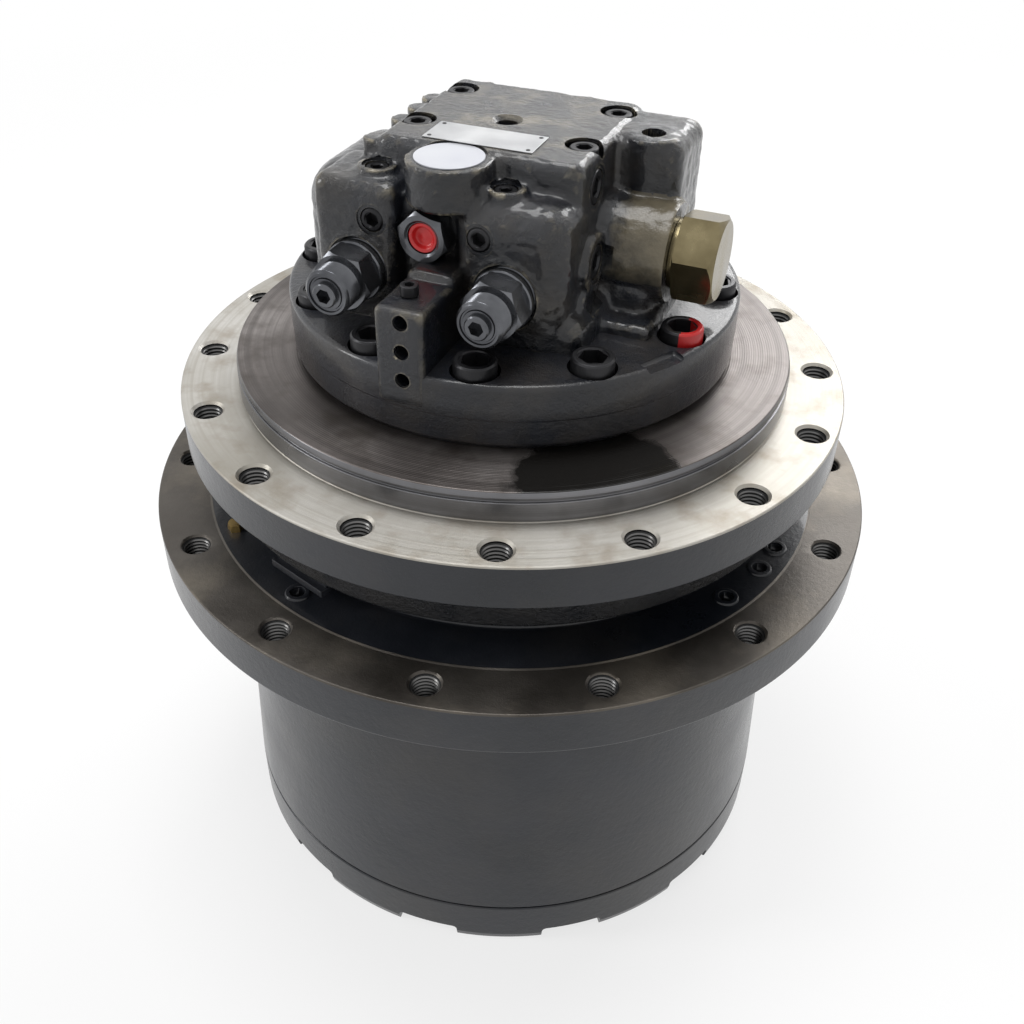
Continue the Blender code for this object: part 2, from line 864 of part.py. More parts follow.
def build_reduction(spindle):
    """Two planetary stages that share the ring gear. A tooth of each planet points away from the axis."""
    gear_steel = make_material("gear_steel", steel_grey, 0.3, 1)
    carrier_steel = make_material("carrier_steel", (0.12, 0.12, 0.13), 0.5, 0.9)
    carrier_2 = build_carrier(
        "carrier_2",
        planet_2_circle,
        planet_2_pin_radius,
        carrier_2_bottom,
        carrier_2_top,
        gear_2_bottom,
        sun_bore_radius,
        carrier_steel,
        spindle,
    )
    collar_outer = inside_radius(cavity_radius, shell_sides) - running_gap
    collar = turned(
        "carrier_collar",
        [
            (collar_outer - carrier_collar_wall, carrier_2_top + carrier_collar_height),
            (collar_outer, carrier_2_top + carrier_collar_height),
            (collar_outer, carrier_2_bottom + carrier_2_thickness / 2),
            (collar_outer - carrier_collar_wall, carrier_2_bottom + carrier_2_thickness / 2),
        ],
        ring_sides,
    )
    join(carrier_2, collar)
    build_planets(
        "planet_2", planet_2_teeth, planet_2_circle, gear_2_width, gear_2_bottom, planet_2_pin_radius, carrier_2
    )
    carrier_1 = build_carrier(
        "carrier_1",
        planet_1_circle,
        planet_1_pin_radius,
        carrier_1_bottom,
        carrier_1_top,
        gear_1_bottom,
        sun_neck_radius + sun_neck_gap,
        carrier_steel,
        None,
    )
    build_planets(
        "planet_1", planet_1_teeth, planet_1_circle, gear_1_width, gear_1_bottom, planet_1_pin_radius, carrier_1
    )
    sun_2_mesh = flat_shape("sun_gear_2", [toothed_outline(sun_2_teeth)], gear_2_width)
    sun_2 = add_object("sun_gear_2", sun_2_mesh, gear_steel, carrier_1)
    sun_2.location.z = gear_2_bottom + gear_2_width / 2
    sun_2.rotation_euler.z = math.pi / sun_2_teeth
    neck = cylinder(
        "sun_neck",
        sun_neck_radius,
        (0, 0, carrier_1_bottom),
        (0, 0, gear_2_bottom + free_gap),
        bore_sides,
    )
    bore = cylinder(
        "sun_bore",
        sun_bore_radius,
        (0, 0, carrier_1_bottom - cut_overrun),
        (0, 0, gear_2_top + cut_overrun),
        bore_sides,
    )
    join(sun_2, neck)
    cut(sun_2, bore)


def build_motor(spindle):
    shaft_steel = make_material("shaft_steel", (0.5, 0.5, 0.52), 0.25, 1)
    block_steel = make_material("cylinder_steel", (0.33, 0.33, 0.34), 0.35, 1)
    bronze = make_material("valve_plate_bronze", (0.45, 0.30, 0.12), 0.35, 1)
    shaft_low = spindle_bottom + carrier_collar_height
    shaft_high = base_bottom + shaft_journal_length
    socket_top = shaft_low + shaft_engagement
    shaft_profile = [
        (0, shaft_high),
        (shaft_journal_radius, shaft_high),
        (shaft_journal_radius, block_top),
        (motor_shaft_radius, block_top),
        (motor_shaft_radius, shaft_low),
        (sun_shaft_radius + running_gap, shaft_low),
        (sun_shaft_radius + running_gap, socket_top),
        (0, socket_top),
    ]
    shaft = turned("motor_shaft", shaft_profile, bore_sides, shaft_steel)
    sun_bottom = gear_1_bottom
    sun_mesh = flat_shape("sun_gear_1", [toothed_outline(sun_1_teeth)], gear_1_width)
    sun_1 = add_object("sun_gear_1", sun_mesh, shaft_steel, shaft)
    sun_1.location.z = sun_bottom + gear_1_width / 2
    stem = cylinder(
        "sun_stem",
        sun_shaft_radius,
        (0, 0, gear_1_bottom + gear_1_width / 2),
        (0, 0, socket_top - running_gap),
        bore_sides,
    )
    join(sun_1, stem)
    bore = motor_shaft_radius + running_gap
    block = turned(
        "cylinder_block",
        [
            (bore, block_top),
            (cylinder_block_radius, block_top),
            (cylinder_block_radius, block_bottom),
            (bore, block_bottom),
        ],
        ring_sides,
        block_steel,
        shaft,
    )
    bores = hole_ring(
        "cylinder_bores",
        cylinder_count,
        cylinder_circle,
        0,
        piston_radius + running_gap,
        block_bottom - cut_overrun,
        block_bottom + piston_depth + free_gap,
    )
    cut(block, bores)
    retainer_in = cylinder_circle - retainer_rim
    retainer_out = cylinder_circle + retainer_rim
    pistons = turned(
        "piston_set",
        [
            (retainer_in, shoe_level + retainer_thickness),
            (retainer_out, shoe_level + retainer_thickness),
            (retainer_out, shoe_level),
            (retainer_in, shoe_level),
        ],
        ring_sides,
        shaft_steel,
        shaft,
    )
    for index in range(cylinder_count):
        angle = index * math.tau / cylinder_count
        x = cylinder_circle * math.cos(angle)
        y = cylinder_circle * math.sin(angle)
        low = shoe_level + retainer_thickness / 2
        high = block_bottom + piston_depth
        join(pistons, cylinder("piston", piston_radius, (x, y, low), (x, y, high), shank_sides))
    plate = turned(
        "valve_plate",
        [
            (bore, dish_top),
            (valve_plate_radius, dish_top),
            (valve_plate_radius, valve_plate_bottom),
            (bore, valve_plate_bottom),
        ],
        ring_sides,
        bronze,
        spindle,
    )
    for side in (0, math.pi):
        kidney = wedge_outline(
            kidney_radius - kidney_width / 2, kidney_radius + kidney_width / 2, side, kidney_angle / 2, 3
        )
        slot = add_object("kidney", flat_shape("kidney", [kidney], valve_plate_thickness + 2 * cut_overrun))
        slot.location.z = (dish_top + valve_plate_bottom) / 2
        cut(plate, slot)
    build_swash_plate(block_steel, spindle)
    build_brake(shaft, spindle)


def build_swash_plate(material, spindle):
    """Tilted disc that rests on two pivots in line with X."""
    tilt = empty_at("swash_pivot", (0, 0, swash_pivot_level()), spindle)
    thickness = swash_thickness
    plate = turned(
        "swash_plate",
        [
            (swash_bore_radius, thickness),
            (swash_radius, thickness),
            (swash_radius, 0),
            (swash_bore_radius, 0),
        ],
        ring_sides,
        material,
        tilt,
    )
    plate.rotation_euler.x = swash_angle


def build_brake(shaft, spindle):
    friction = make_material("friction_lining", (0.10, 0.075, 0.05), 0.8, 0.1)
    brake_steel = make_material("brake_steel", (0.28, 0.28, 0.29), 0.4, 1)
    disc_bottom = brake_step + running_gap
    disc_top = disc_bottom + brake_disc_thickness
    disc_inner = cylinder_block_radius + running_gap
    disc_outer = chamber_radius - free_gap
    turned(
        "brake_disc",
        [
            (disc_inner, disc_top),
            (disc_outer, disc_top),
            (disc_outer, disc_bottom),
            (disc_inner, disc_bottom),
        ],
        ring_sides,
        friction,
        shaft,
    )
    piston_outer = inside_radius(chamber_radius, shell_sides) - running_gap
    piston_inner = piston_outer - brake_piston_width
    piston_low = disc_top + running_gap
    piston_high = piston_low + brake_piston_height
    turned(
        "brake_piston",
        [
            (piston_inner, piston_high),
            (piston_outer, piston_high),
            (piston_outer, piston_low),
            (piston_inner, piston_low),
        ],
        ring_sides,
        brake_steel,
        spindle,
    )
    spring_low = piston_high + running_gap
    spring_high = base_bottom - running_gap
    wall = brake_spring_wall
    turned(
        "brake_spring",
        [
            (piston_inner + wall, spring_high),
            (piston_inner + 3 * wall, spring_high),
            (piston_outer - wall, spring_low + wall),
            (piston_outer - wall, spring_low),
            (piston_outer - 3 * wall, spring_low),
            (piston_inner + wall, spring_high - wall),
        ],
        ring_sides,
        brake_steel,
        spindle,
    )


def screw_mesh(name, head_radius, head_height, shank_radius, grip, material):
    """A cylinder-head screw, with the underside of its head at the origin and its shank down."""
    profile = [
        (0, head_height),
        (head_radius, head_height),
        (head_radius, 0),
        (shank_radius, 0),
        (shank_radius, -grip),
        (0, -grip),
    ]
    body = turned(name, profile, shank_sides)
    graph = bpy.context.evaluated_depsgraph_get()
    mesh = bpy.data.meshes.new_from_object(body.evaluated_get(graph))
    mesh.materials.append(material)
    bpy.data.objects.remove(body)
    return mesh


def place_screw(name, mesh, location, parent, rotation=(0, 0, 0)):
    obj = add_object(name, mesh, mesh.materials[0], parent)
    obj.location = location
    obj.rotation_euler = rotation


def cut_screw_hole(block, name, place, head_radius, shank_radius, grip, top):
    """Cut a screw's counterbore and shank hole, for a seat at the given place."""
    x, y, seat = place
    if top > seat:
        head = head_radius + counterbore_margin / 2
        low = (x, y, seat - running_gap)
        cut(block, cylinder(name + "_counterbore", head, low, (x, y, top + cut_overrun), shank_sides))
    shank = shank_radius + running_gap
    low = (x, y, seat - grip - free_gap / 2)
    cut(block, cylinder(name + "_hole", shank, low, (x, y, seat + cut_overrun), shank_sides))


turn_to_front = (math.pi / 2, 0, 0)
turn_to_right = (0, math.pi / 2, 0)


def port_block_forms():
    """The solids that the port block's casting is joined from."""
    low = base_bottom + free_gap
    height = base_bottom
    forms = [
        rounded_box(
            "main_body",
            (body_left, body_front, low),
            (body_right, body_back, head_top),
            body_round,
        ),
        rounded_box(
            "left_shoulder",
            (shoulder_left, shoulder_front, low),
            (shoulder_left_inner, shoulder_back, shoulder_top),
            shoulder_round,
            1,
        ),
        rounded_box(
            "right_shoulder",
            (shoulder_right_inner, shoulder_front, low),
            (shoulder_right, shoulder_back, shoulder_top),
            corner_round,
            3,
        ),
        rounded_box(
            "recess_wall",
            (shoulder_left_inner - shoulder_round, recess_front, low),
            (shoulder_right_inner + corner_round, shoulder_back, height + recess_height),
            shoulder_round,
            1,
        ),
        rounded_box(
            "left_lobe",
            (lobe_left, lobe_front, low),
            (body_left + lobe_round, lobe_back, height + lobe_height),
            lobe_round,
        ),
        rounded_box(
            "rear_block",
            (body_right - rear_block_round * 2, rear_block_front, low),
            (rear_block_right, rear_block_back, head_top - rear_block_drop),
            rear_block_round,
        ),
        rounded_box(
            "foot",
            (foot_left, foot_front, low),
            (foot_right, foot_back, height + foot_height),
            foot_round,
            1,
        ),
        rounded_box(
            "tab",
            (tab_left, tab_front, low),
            (tab_right, tab_back, height + tab_height),
            tab_round,
            1,
        ),
        cylinder(
            "spool_boss",
            spool_boss_radius,
            (body_right - body_round, spool_axis_y, height + spool_axis_height),
            (spool_boss_end, spool_axis_y, height + spool_axis_height),
            bore_sides,
            axis="X",
        ),
        cylinder(
            "round_boss",
            round_boss_radius,
            (round_boss_x, round_boss_y, head_top - round_boss_drop - round_boss_depth),
            (round_boss_x, round_boss_y, head_top - round_boss_drop),
            bore_sides,
        ),
        cylinder(
            "side_boss",
            side_boss_radius,
            (shoulder_right - shoulder_round, side_lower_y, height + side_lower_height),
            (shoulder_right + side_boss_stand, side_lower_y, height + side_lower_height),
            bore_sides,
            axis="X",
        ),
    ]
    lug_top = head_top - edge_lug_drop
    left = body_left - edge_lug_stand
    back = body_back + edge_lug_stand
    span = body_back - body_front
    width = body_right - body_left
    places = [(left, body_front + share * span) for share in left_lug_shares]
    places += [(body_left + share * width, back) for share in back_lug_shares]
    for x, y in places:
        forms.append(
            cylinder("edge_lug", edge_lug_radius, (x, y, lug_top - edge_lug_depth), (x, y, lug_top), shank_sides)
        )
    return forms


def build_port_block(spindle):
    material = make_material("port_block_paint", cast_black, 0.3, 0.5)
    bearing_bore = clear_radius(shaft_journal_radius + running_gap, bore_sides)
    profile = [
        (0, base_top),
        (base_radius, base_top),
        (base_radius, base_bottom + base_chamfer),
        (base_radius - base_chamfer, base_bottom),
        (0, base_bottom),
    ]
    block = turned("port_block", profile, shell_sides, material, spindle)
    join(block, *port_block_forms())
    height = base_bottom
    front = shoulder_front
    shaft_bore = cylinder(
        "shaft_bore",
        bearing_bore,
        (0, 0, base_bottom - cut_overrun),
        (0, 0, base_bottom + shaft_journal_length + running_gap),
        bore_sides,
    )
    bolt_seat = base_top + bolt_head_stand - bolt_head_height
    bolt_holes = hole_ring(
        "base_bolt_holes",
        base_bolt_count,
        base_bolt_circle,
        base_bolt_phase,
        bolt_shank_radius + running_gap,
        base_bottom - cut_overrun,
        bolt_seat + cut_overrun,
    )
    counterbores = hole_ring(
        "base_counterbores",
        base_bolt_count,
        base_bolt_circle,
        base_bolt_phase,
        bolt_head_radius + counterbore_margin,
        bolt_seat - running_gap,
        base_bottom + foot_height + free_gap,
    )
    spool_bore = cylinder(
        "spool_bore",
        spool_radius + running_gap,
        (spool_left_end - free_gap - spool_stroke, spool_axis_y, height + spool_axis_height),
        (spool_boss_end + cut_overrun, spool_axis_y, height + spool_axis_height),
        bolt_sides,
        axis="X",
    )
    plug_bore = cylinder(
        "plug_bore",
        plug_shank_radius + running_gap,
        (spool_boss_end - plug_shank_length - free_gap, spool_axis_y, height + spool_axis_height),
        (spool_boss_end + cut_overrun, spool_axis_y, height + spool_axis_height),
        bore_sides,
        axis="X",
    )
    cut(block, shaft_bore, counterbores, bolt_holes, spool_bore, plug_bore)
    for x in (valve_left_x, valve_right_x):
        z = height + valve_axis_height
        spotface = cylinder(
            "valve_spotface",
            valve_spotface_radius,
            (x, front + valve_spotface_depth, z),
            (x, front - cut_overrun, z),
            bore_sides,
            axis="Y",
        )
        bore = cylinder(
            "valve_bore",
            valve_bore_radius,
            (x, front + valve_bore_depth, z),
            (x, front - cut_overrun, z),
            bolt_sides,
            axis="Y",
        )
        cut(block, spotface, bore)
    port_bore = cylinder(
        "port_bore",
        port_bore_radius,
        (port_x, recess_front + port_bore_depth, height + port_height),
        (port_x, recess_front - cut_overrun, height + port_height),
        bolt_sides,
        axis="Y",
    )
    rear_hole = cylinder(
        "rear_hole",
        rear_hole_radius,
        (rear_block_right - rear_hole_right, rear_block_front + rear_hole_front, head_top - rear_hole_depth),
        (rear_block_right - rear_hole_right, rear_block_front + rear_hole_front, head_top + cut_overrun),
        bolt_sides,
    )
    top_hole = cylinder(
        "top_hole",
        top_hole_radius,
        (top_hole_x, top_hole_y, head_top - top_hole_depth),
        (top_hole_x, top_hole_y, head_top + cut_overrun),
        bolt_sides,
    )
    cut(block, port_bore, rear_hole, top_hole)
    tab_x = (tab_left + tab_right) / 2
    for index in range(3):
        z = height + tab_height - tab_hole_drop - index * tab_hole_spacing
        cut(
            block,
            cylinder(
                "tab_hole",
                tab_hole_radius,
                (tab_x, tab_front + tab_hole_depth, z),
                (tab_x, tab_front - cut_overrun, z),
                shank_sides,
                axis="Y",
            ),
        )
    return block


def build_fasteners(block):
    screw_steel = make_material("screw_steel", screw_black, 0.4, 0.8)
    bolt_seat = base_top + bolt_head_stand - bolt_head_height
    bolt = screw_mesh(
        "flange_bolt",
        bolt_head_radius,
        bolt_head_height,
        bolt_shank_radius,
        bolt_grip - bolt_head_height + bolt_head_stand,
        screw_steel,
    )
    for index in range(base_bolt_count):
        angle = base_bolt_phase + index * math.tau / base_bolt_count
        place = (base_bolt_circle * math.cos(angle), base_bolt_circle * math.sin(angle), bolt_seat)
        place_screw("flange_bolt_" + str(index + 1).zfill(2), bolt, place, block)
    top_screw = screw_mesh(
        "block_screw",
        block_screw_head_radius,
        block_screw_head_height,
        block_screw_shank_radius,
        block_screw_grip,
        screw_steel,
    )
    seat = head_top - block_screw_sink - block_screw_head_height
    corners = [
        (-block_screw_x, block_screw_y_front),
        (-block_screw_x, block_screw_y_back),
        (block_screw_x, block_screw_y_back),
        (block_screw_x, block_screw_y_front),
    ]
    for index, (x, y) in enumerate(corners):
        name = "block_screw_" + str(index + 1)
        place_screw(name, top_screw, (x, y, seat), block)
        cut_screw_hole(
            block,
            name,
            (x, y, seat),
            block_screw_head_radius,
            block_screw_shank_radius,
            block_screw_grip,
            head_top,
        )
    tab_seat = base_bottom + tab_height + running_gap
    tab_screw = screw_mesh(
        "tab_screw",
        tab_screw_head_radius,
        tab_screw_head_height,
        tab_screw_shank_radius,
        tab_screw_grip,
        screw_steel,
    )
    tab_place = (tab_screw_x, tab_screw_y, tab_seat)
    place_screw("tab_screw", tab_screw, tab_place, block)
    cut_screw_hole(
        block, "tab_screw", tab_place, tab_screw_head_radius, tab_screw_shank_radius, tab_screw_grip, tab_seat
    )


def flush_plug(block, name, location, rotation, radius, length, material):
    """A round plug, its outer face at the origin and its length inwards."""
    profile = [(0, 0), (radius, 0), (radius, -length), (0, -length)]
    obj = turned(name, profile, bolt_sides, material, block, location)
    obj.rotation_euler = rotation
    hole = cylinder(
        name + "_hole",
        radius + running_gap,
        (0, 0, -length - running_gap),
        (0, 0, cut_overrun * 2),
        bolt_sides,
        parent=obj,
    )
    cut(block, hole)


def build_plugs(block):
    steel = make_material("flush_plug_steel", (0.05, 0.05, 0.055), 0.35, 0.8)
    radius = flush_plug_radius
    length = flush_plug_length
    gauge_z = base_bottom + gauge_height
    front_y = shoulder_front + running_gap
    top_z = shoulder_top - running_gap
    for side, x in (("left", gauge_left_x), ("right", gauge_right_x)):
        flush_plug(block, "gauge_plug_" + side, (x, front_y, gauge_z), turn_to_front, radius, length, steel)
    for side, x in (("left", shoulder_plug_left_x), ("right", shoulder_plug_right_x)):
        place = (x, shoulder_plug_y, top_z)
        flush_plug(block, "shoulder_plug_" + side, place, (0, 0, 0), radius, length, steel)
    lower = (shoulder_right + side_boss_stand - running_gap, side_lower_y, base_bottom + side_lower_height)
    flush_plug(block, "side_plug_lower", lower, turn_to_right, side_plug_radius, length, steel)
    upper = (body_right - running_gap, side_upper_y, base_bottom + side_upper_height)
    flush_plug(block, "side_plug_upper", upper, turn_to_right, radius, side_upper_length, steel)


def hexagon_radius(across_flats):
    return across_flats / 2 / math.cos(math.pi / 6)


def build_relief_valves(block):
    material = make_material("valve_steel", (0.06, 0.062, 0.068), 0.3, 0.9)
    seat = shoulder_front + valve_spotface_depth - running_gap
    hex_low = valve_collar_length
    cap_low = hex_low + valve_hex_length
    cap_high = cap_low + valve_cap_length
    tip = cap_high + valve_boss_length
    shank_radius = valve_bore_radius - running_gap
    shank_length = valve_bore_depth - valve_spotface_depth - free_gap / 2
    for side, x in (("left", valve_left_x), ("right", valve_right_x)):
        profile = [
            (0, tip),
            (valve_boss_radius, tip),
            (valve_boss_radius, cap_high),
            (valve_cap_radius, cap_high),
            (valve_cap_radius, hex_low),
            (valve_collar_radius, hex_low),
            (valve_collar_radius, 0),
            (shank_radius, 0),
            (shank_radius, -shank_length),
            (0, -shank_length),
        ]
        name = "relief_valve_" + side
        valve = turned(name, profile, bolt_sides, material, block, (x, seat, base_bottom + valve_axis_height))
        valve.rotation_euler = turn_to_front
        hexagon = cylinder(
            name + "_hexagon",
            hexagon_radius(valve_across_flats),
            (0, 0, hex_low - valve_collar_length / 4),
            (0, 0, cap_low),
            6,
            parent=valve,
        )
        socket = cylinder(
            name + "_socket",
            valve_socket_radius,
            (0, 0, tip - valve_socket_depth),
            (0, 0, tip + cut_overrun),
            6,
            parent=valve,
        )
        join(valve, hexagon)
        cut(valve, socket)


def build_port_fitting(block):
    steel = make_material("fitting_steel", (0.05, 0.05, 0.055), 0.35, 0.9)
    red = make_material("plug_plastic", (0.62, 0.02, 0.02), 0.4, 0)
    seat = recess_front - running_gap
    shank = port_bore_radius - running_gap
    port_end = -port_bore_depth / 2
    body = turned(
        "port_fitting",
        [(0, port_hex_length), (shank, port_hex_length), (shank, port_end), (0, port_end)],
        bolt_sides,
        steel,
        block,
        (port_x, seat, base_bottom + port_height),
    )
    body.rotation_euler = turn_to_front
    hexagon = cylinder(
        "port_hexagon",
        hexagon_radius(port_across_flats),
        (0, 0, 0),
        (0, 0, port_hex_length),
        6,
        parent=body,
    )
    opening = cylinder(
        "port_opening",
        port_opening_radius,
        (0, 0, port_hex_length - port_opening_depth),
        (0, 0, port_hex_length + cut_overrun),
        bolt_sides,
        parent=body,
    )
    join(body, hexagon)
    cut(body, opening)
    stem = port_opening_radius - running_gap
    head_low = port_hex_length + running_gap
    head_high = head_low + port_cap_head_length
    cap_profile = [
        (0, head_high),
        (port_cap_head_radius - port_cap_dome, head_high),
        (port_cap_head_radius, head_high - port_cap_dome),
        (port_cap_head_radius, head_low),
        (stem, head_low),
        (stem, port_hex_length - port_opening_depth + running_gap),
        (0, port_hex_length - port_opening_depth + running_gap),
    ]
    turned("port_plug", cap_profile, bolt_sides, red, body)


def build_counterbalance(block):
    zinc = make_material("zinc_plating", zinc_olive, 0.35, 0.9)
    spool_steel = make_material("spool_steel", (0.45, 0.45, 0.46), 0.25, 1)
    axis_z = base_bottom + spool_axis_height
    seat = plug_collar_length
    tip = seat + plug_hex_length
    hex_radius = hexagon_radius(plug_across_flats)
    plug = turned(
        "counterbalance_plug",
        [
            (0, seat + plug_hex_length / 2),
            (plug_shank_radius, seat + plug_hex_length / 2),
            (plug_collar_radius, seat),
            (plug_collar_radius, 0),
            (plug_shank_radius, 0),
            (plug_shank_radius, -plug_shank_length),
            (0, -plug_shank_length),
        ],
        bore_sides,
        zinc,
        block,
        (spool_boss_end + running_gap, spool_axis_y, axis_z),
    )
    plug.rotation_euler = turn_to_right
    hexagon = cylinder("plug_hexagon", hex_radius, (0, 0, seat / 2), (0, 0, tip), 6, parent=plug)
    hexagon.rotation_euler.z = plug_turn
    chamfer_profile = [
        (0, tip + cut_overrun),
        (hex_radius + cut_overrun, tip + cut_overrun),
        (hex_radius + cut_overrun, tip - plug_chamfer),
        (hex_radius, tip - plug_chamfer),
        (hex_radius - plug_chamfer * plug_chamfer_share, tip),
        (0, tip),
    ]
    chamfer_ring = turned("plug_chamfer", chamfer_profile, bore_sides, parent=plug)
    join(plug, hexagon)
    cut(plug, chamfer_ring)
    right_end = spool_boss_end - plug_shank_length - free_gap
    length = right_end - spool_stroke - spool_left_end
    waist = spool_radius - spool_waist
    lands = 3
    groove = (length - lands * spool_land_length) / (lands - 1)
    profile = [(0, length)]
    for land in reversed(range(lands)):
        low = land * (spool_land_length + groove)
        high = low + spool_land_length
        if land < lands - 1:
            profile.append((waist, high))
        profile += [(spool_radius, high), (spool_radius, low)]
        if land:
            profile.append((waist, low))
    profile.append((0, 0))
    spool = turned(
        "counterbalance_spool",
        profile,
        bolt_sides,
        spool_steel,
        block,
        (spool_left_end, spool_axis_y, axis_z),
    )
    spool.rotation_euler = turn_to_right


def build_nameplate(block):
    aluminium = make_material("plate_aluminium", (0.62, 0.63, 0.65), 0.4, 1)
    low = (-nameplate_length / 2, -nameplate_width / 2, 0)
    high = (nameplate_length / 2, nameplate_width / 2, nameplate_thickness)
    plate = rounded_box("nameplate", low, high, 0, material=aluminium, parent=block)
    plate.location = (nameplate_x, nameplate_y, head_top + running_gap)
    plate.rotation_euler.z = nameplate_turn


def shade_parts():
    """Keep each part's finished mesh, smooth except along its sharp edges."""
    graph = bpy.context.evaluated_depsgraph_get()
    finished = {}
    for obj in object_parts.objects:
        if obj.type == "MESH" and obj.modifiers:
            finished[obj] = bpy.data.meshes.new_from_object(obj.evaluated_get(graph))
    for obj, mesh in finished.items():
        obj.modifiers.clear()
        obj.data = mesh
    for mesh in {obj.data for obj in object_parts.objects if obj.type == "MESH"}:
        mesh.shade_smooth()
        mesh.set_sharp_from_angle(angle=sharp_angle)


def main():
    clear_scene()
    hub = build_hub()
    build_end_cover(hub)
    spindle = build_spindle()
    build_bearings(spindle, hub)
    build_seal(spindle, hub)
    build_reduction(spindle)
    build_motor(spindle)
    block = build_port_block(spindle)
    build_fasteners(block)
    build_plugs(block)
    build_relief_valves(block)
    build_port_fitting(block)
    build_counterbalance(block)
    build_nameplate(block)
    shade_parts()


main()
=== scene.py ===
# Looks of an excavator final drive: drum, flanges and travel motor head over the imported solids
import json
import math
import bpy
from mathutils import Matrix, Vector

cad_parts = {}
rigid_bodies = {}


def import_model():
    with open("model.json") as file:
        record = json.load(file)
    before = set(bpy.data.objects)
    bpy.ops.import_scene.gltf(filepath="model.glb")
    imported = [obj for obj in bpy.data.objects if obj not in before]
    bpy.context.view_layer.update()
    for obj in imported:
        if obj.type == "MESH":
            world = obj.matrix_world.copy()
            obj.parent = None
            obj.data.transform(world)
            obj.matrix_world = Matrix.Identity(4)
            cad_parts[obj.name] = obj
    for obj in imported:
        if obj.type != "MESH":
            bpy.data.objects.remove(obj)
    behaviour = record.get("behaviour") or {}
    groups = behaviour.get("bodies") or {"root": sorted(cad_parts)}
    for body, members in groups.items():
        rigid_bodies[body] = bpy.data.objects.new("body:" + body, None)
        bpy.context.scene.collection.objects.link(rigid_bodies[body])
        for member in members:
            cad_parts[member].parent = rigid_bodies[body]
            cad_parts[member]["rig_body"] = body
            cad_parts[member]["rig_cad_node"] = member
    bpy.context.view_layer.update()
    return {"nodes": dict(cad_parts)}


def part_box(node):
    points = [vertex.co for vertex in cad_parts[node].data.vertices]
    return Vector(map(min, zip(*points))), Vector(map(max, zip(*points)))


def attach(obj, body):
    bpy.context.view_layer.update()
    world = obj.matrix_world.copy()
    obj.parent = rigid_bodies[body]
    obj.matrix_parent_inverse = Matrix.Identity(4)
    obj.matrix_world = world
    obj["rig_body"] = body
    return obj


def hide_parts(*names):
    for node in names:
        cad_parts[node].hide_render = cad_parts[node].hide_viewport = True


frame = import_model()
print("loaded", len(frame["nodes"]), "solids")

# heights on the drive's axis, read from the solids
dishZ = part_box("valve_plate")[1].z
baseZ = dishZ + 0.0003
topZ = baseZ + 0.136


# small tools
def clearPick():
    if bpy.context.object and bpy.context.object.mode != "OBJECT":
        bpy.ops.object.mode_set(mode="OBJECT")
    bpy.ops.object.select_all(action="DESELECT")


def only(piece):
    clearPick()
    piece.select_set(True)
    bpy.context.view_layer.objects.active = piece


def modify(piece, kind, **settings):
    only(piece)
    step = piece.modifiers.new(kind.title(), kind)
    for key, value in settings.items():
        setattr(step, key, value)
    bpy.ops.object.modifier_apply(modifier=step.name)


def setDown(piece):
    # place and turn go into the mesh
    only(piece)
    bpy.ops.object.transform_apply(location=True, rotation=True, scale=True)


def put(piece, location=(0, 0, 0), turn=(0, 0, 0)):
    piece.rotation_euler = turn
    piece.location = location
    setDown(piece)
    return piece


def merge(pieces):
    clearPick()
    for piece in pieces:
        piece.select_set(True)
    bpy.context.view_layer.objects.active = pieces[0]
    if len(pieces) > 1:
        bpy.ops.object.join()
    return bpy.context.view_layer.objects.active


def carve(piece, cutters, operation="DIFFERENCE"):
    tool = merge(cutters)
    modify(piece, "BOOLEAN", operation=operation, object=tool, solver="MANIFOLD")
    bpy.data.objects.remove(tool)
    return piece


def softCorners(corners, segments=4):
    # corners are (radius, height, rounding)
    points = []
    for index, (radius, height, rounding) in enumerate(corners):
        here = Vector((radius, height))
        if rounding <= 0:
            points.append((radius, height))
            continue
        before = Vector(corners[index - 1][:2])
        after = Vector(corners[(index + 1) % len(corners)][:2])
        inward = (before - here).normalized()
        outward = (after - here).normalized()
        half = inward.angle(outward) / 2
        reach = min(rounding / math.tan(half), (before - here).length * 0.49, (after - here).length * 0.49)
        start, end = here + inward * reach, here + outward * reach
        for step in range(segments + 1):
            t = step / segments
            spot = start * (1 - t) ** 2 + here * 2 * t * (1 - t) + end * t ** 2
            points.append((spot.x, spot.y))
    return points


def lathe(points, steps=96, closed=True):
    # a profile drawn corner by corner, then spun round Z
    clearPick()
    bpy.ops.mesh.primitive_plane_add(size=0.001)
    piece = bpy.context.active_object
    bpy.ops.object.mode_set(mode="EDIT")
    bpy.ops.mesh.merge(type="CENTER")
    here = Vector((0, 0, 0))
    path = list(points) + ([points[0]] if closed else [])
    for index, (radius, height) in enumerate(path):
        there = Vector((radius, 0, height))
        if index == 0:
            bpy.ops.transform.translate(value=there)
        else:
            bpy.ops.mesh.extrude_vertices_move(TRANSFORM_OT_translate={"value": there - here})
        here = there
    bpy.ops.mesh.select_all(action="SELECT")
    bpy.ops.mesh.spin(steps=steps, angle=math.tau, center=(0, 0, 0), axis=(0, 0, 1))
    bpy.ops.mesh.select_all(action="SELECT")
    bpy.ops.mesh.remove_doubles(threshold=0.000008)
    bpy.ops.mesh.normals_make_consistent(inside=False)
    bpy.ops.object.mode_set(mode="OBJECT")
    return piece


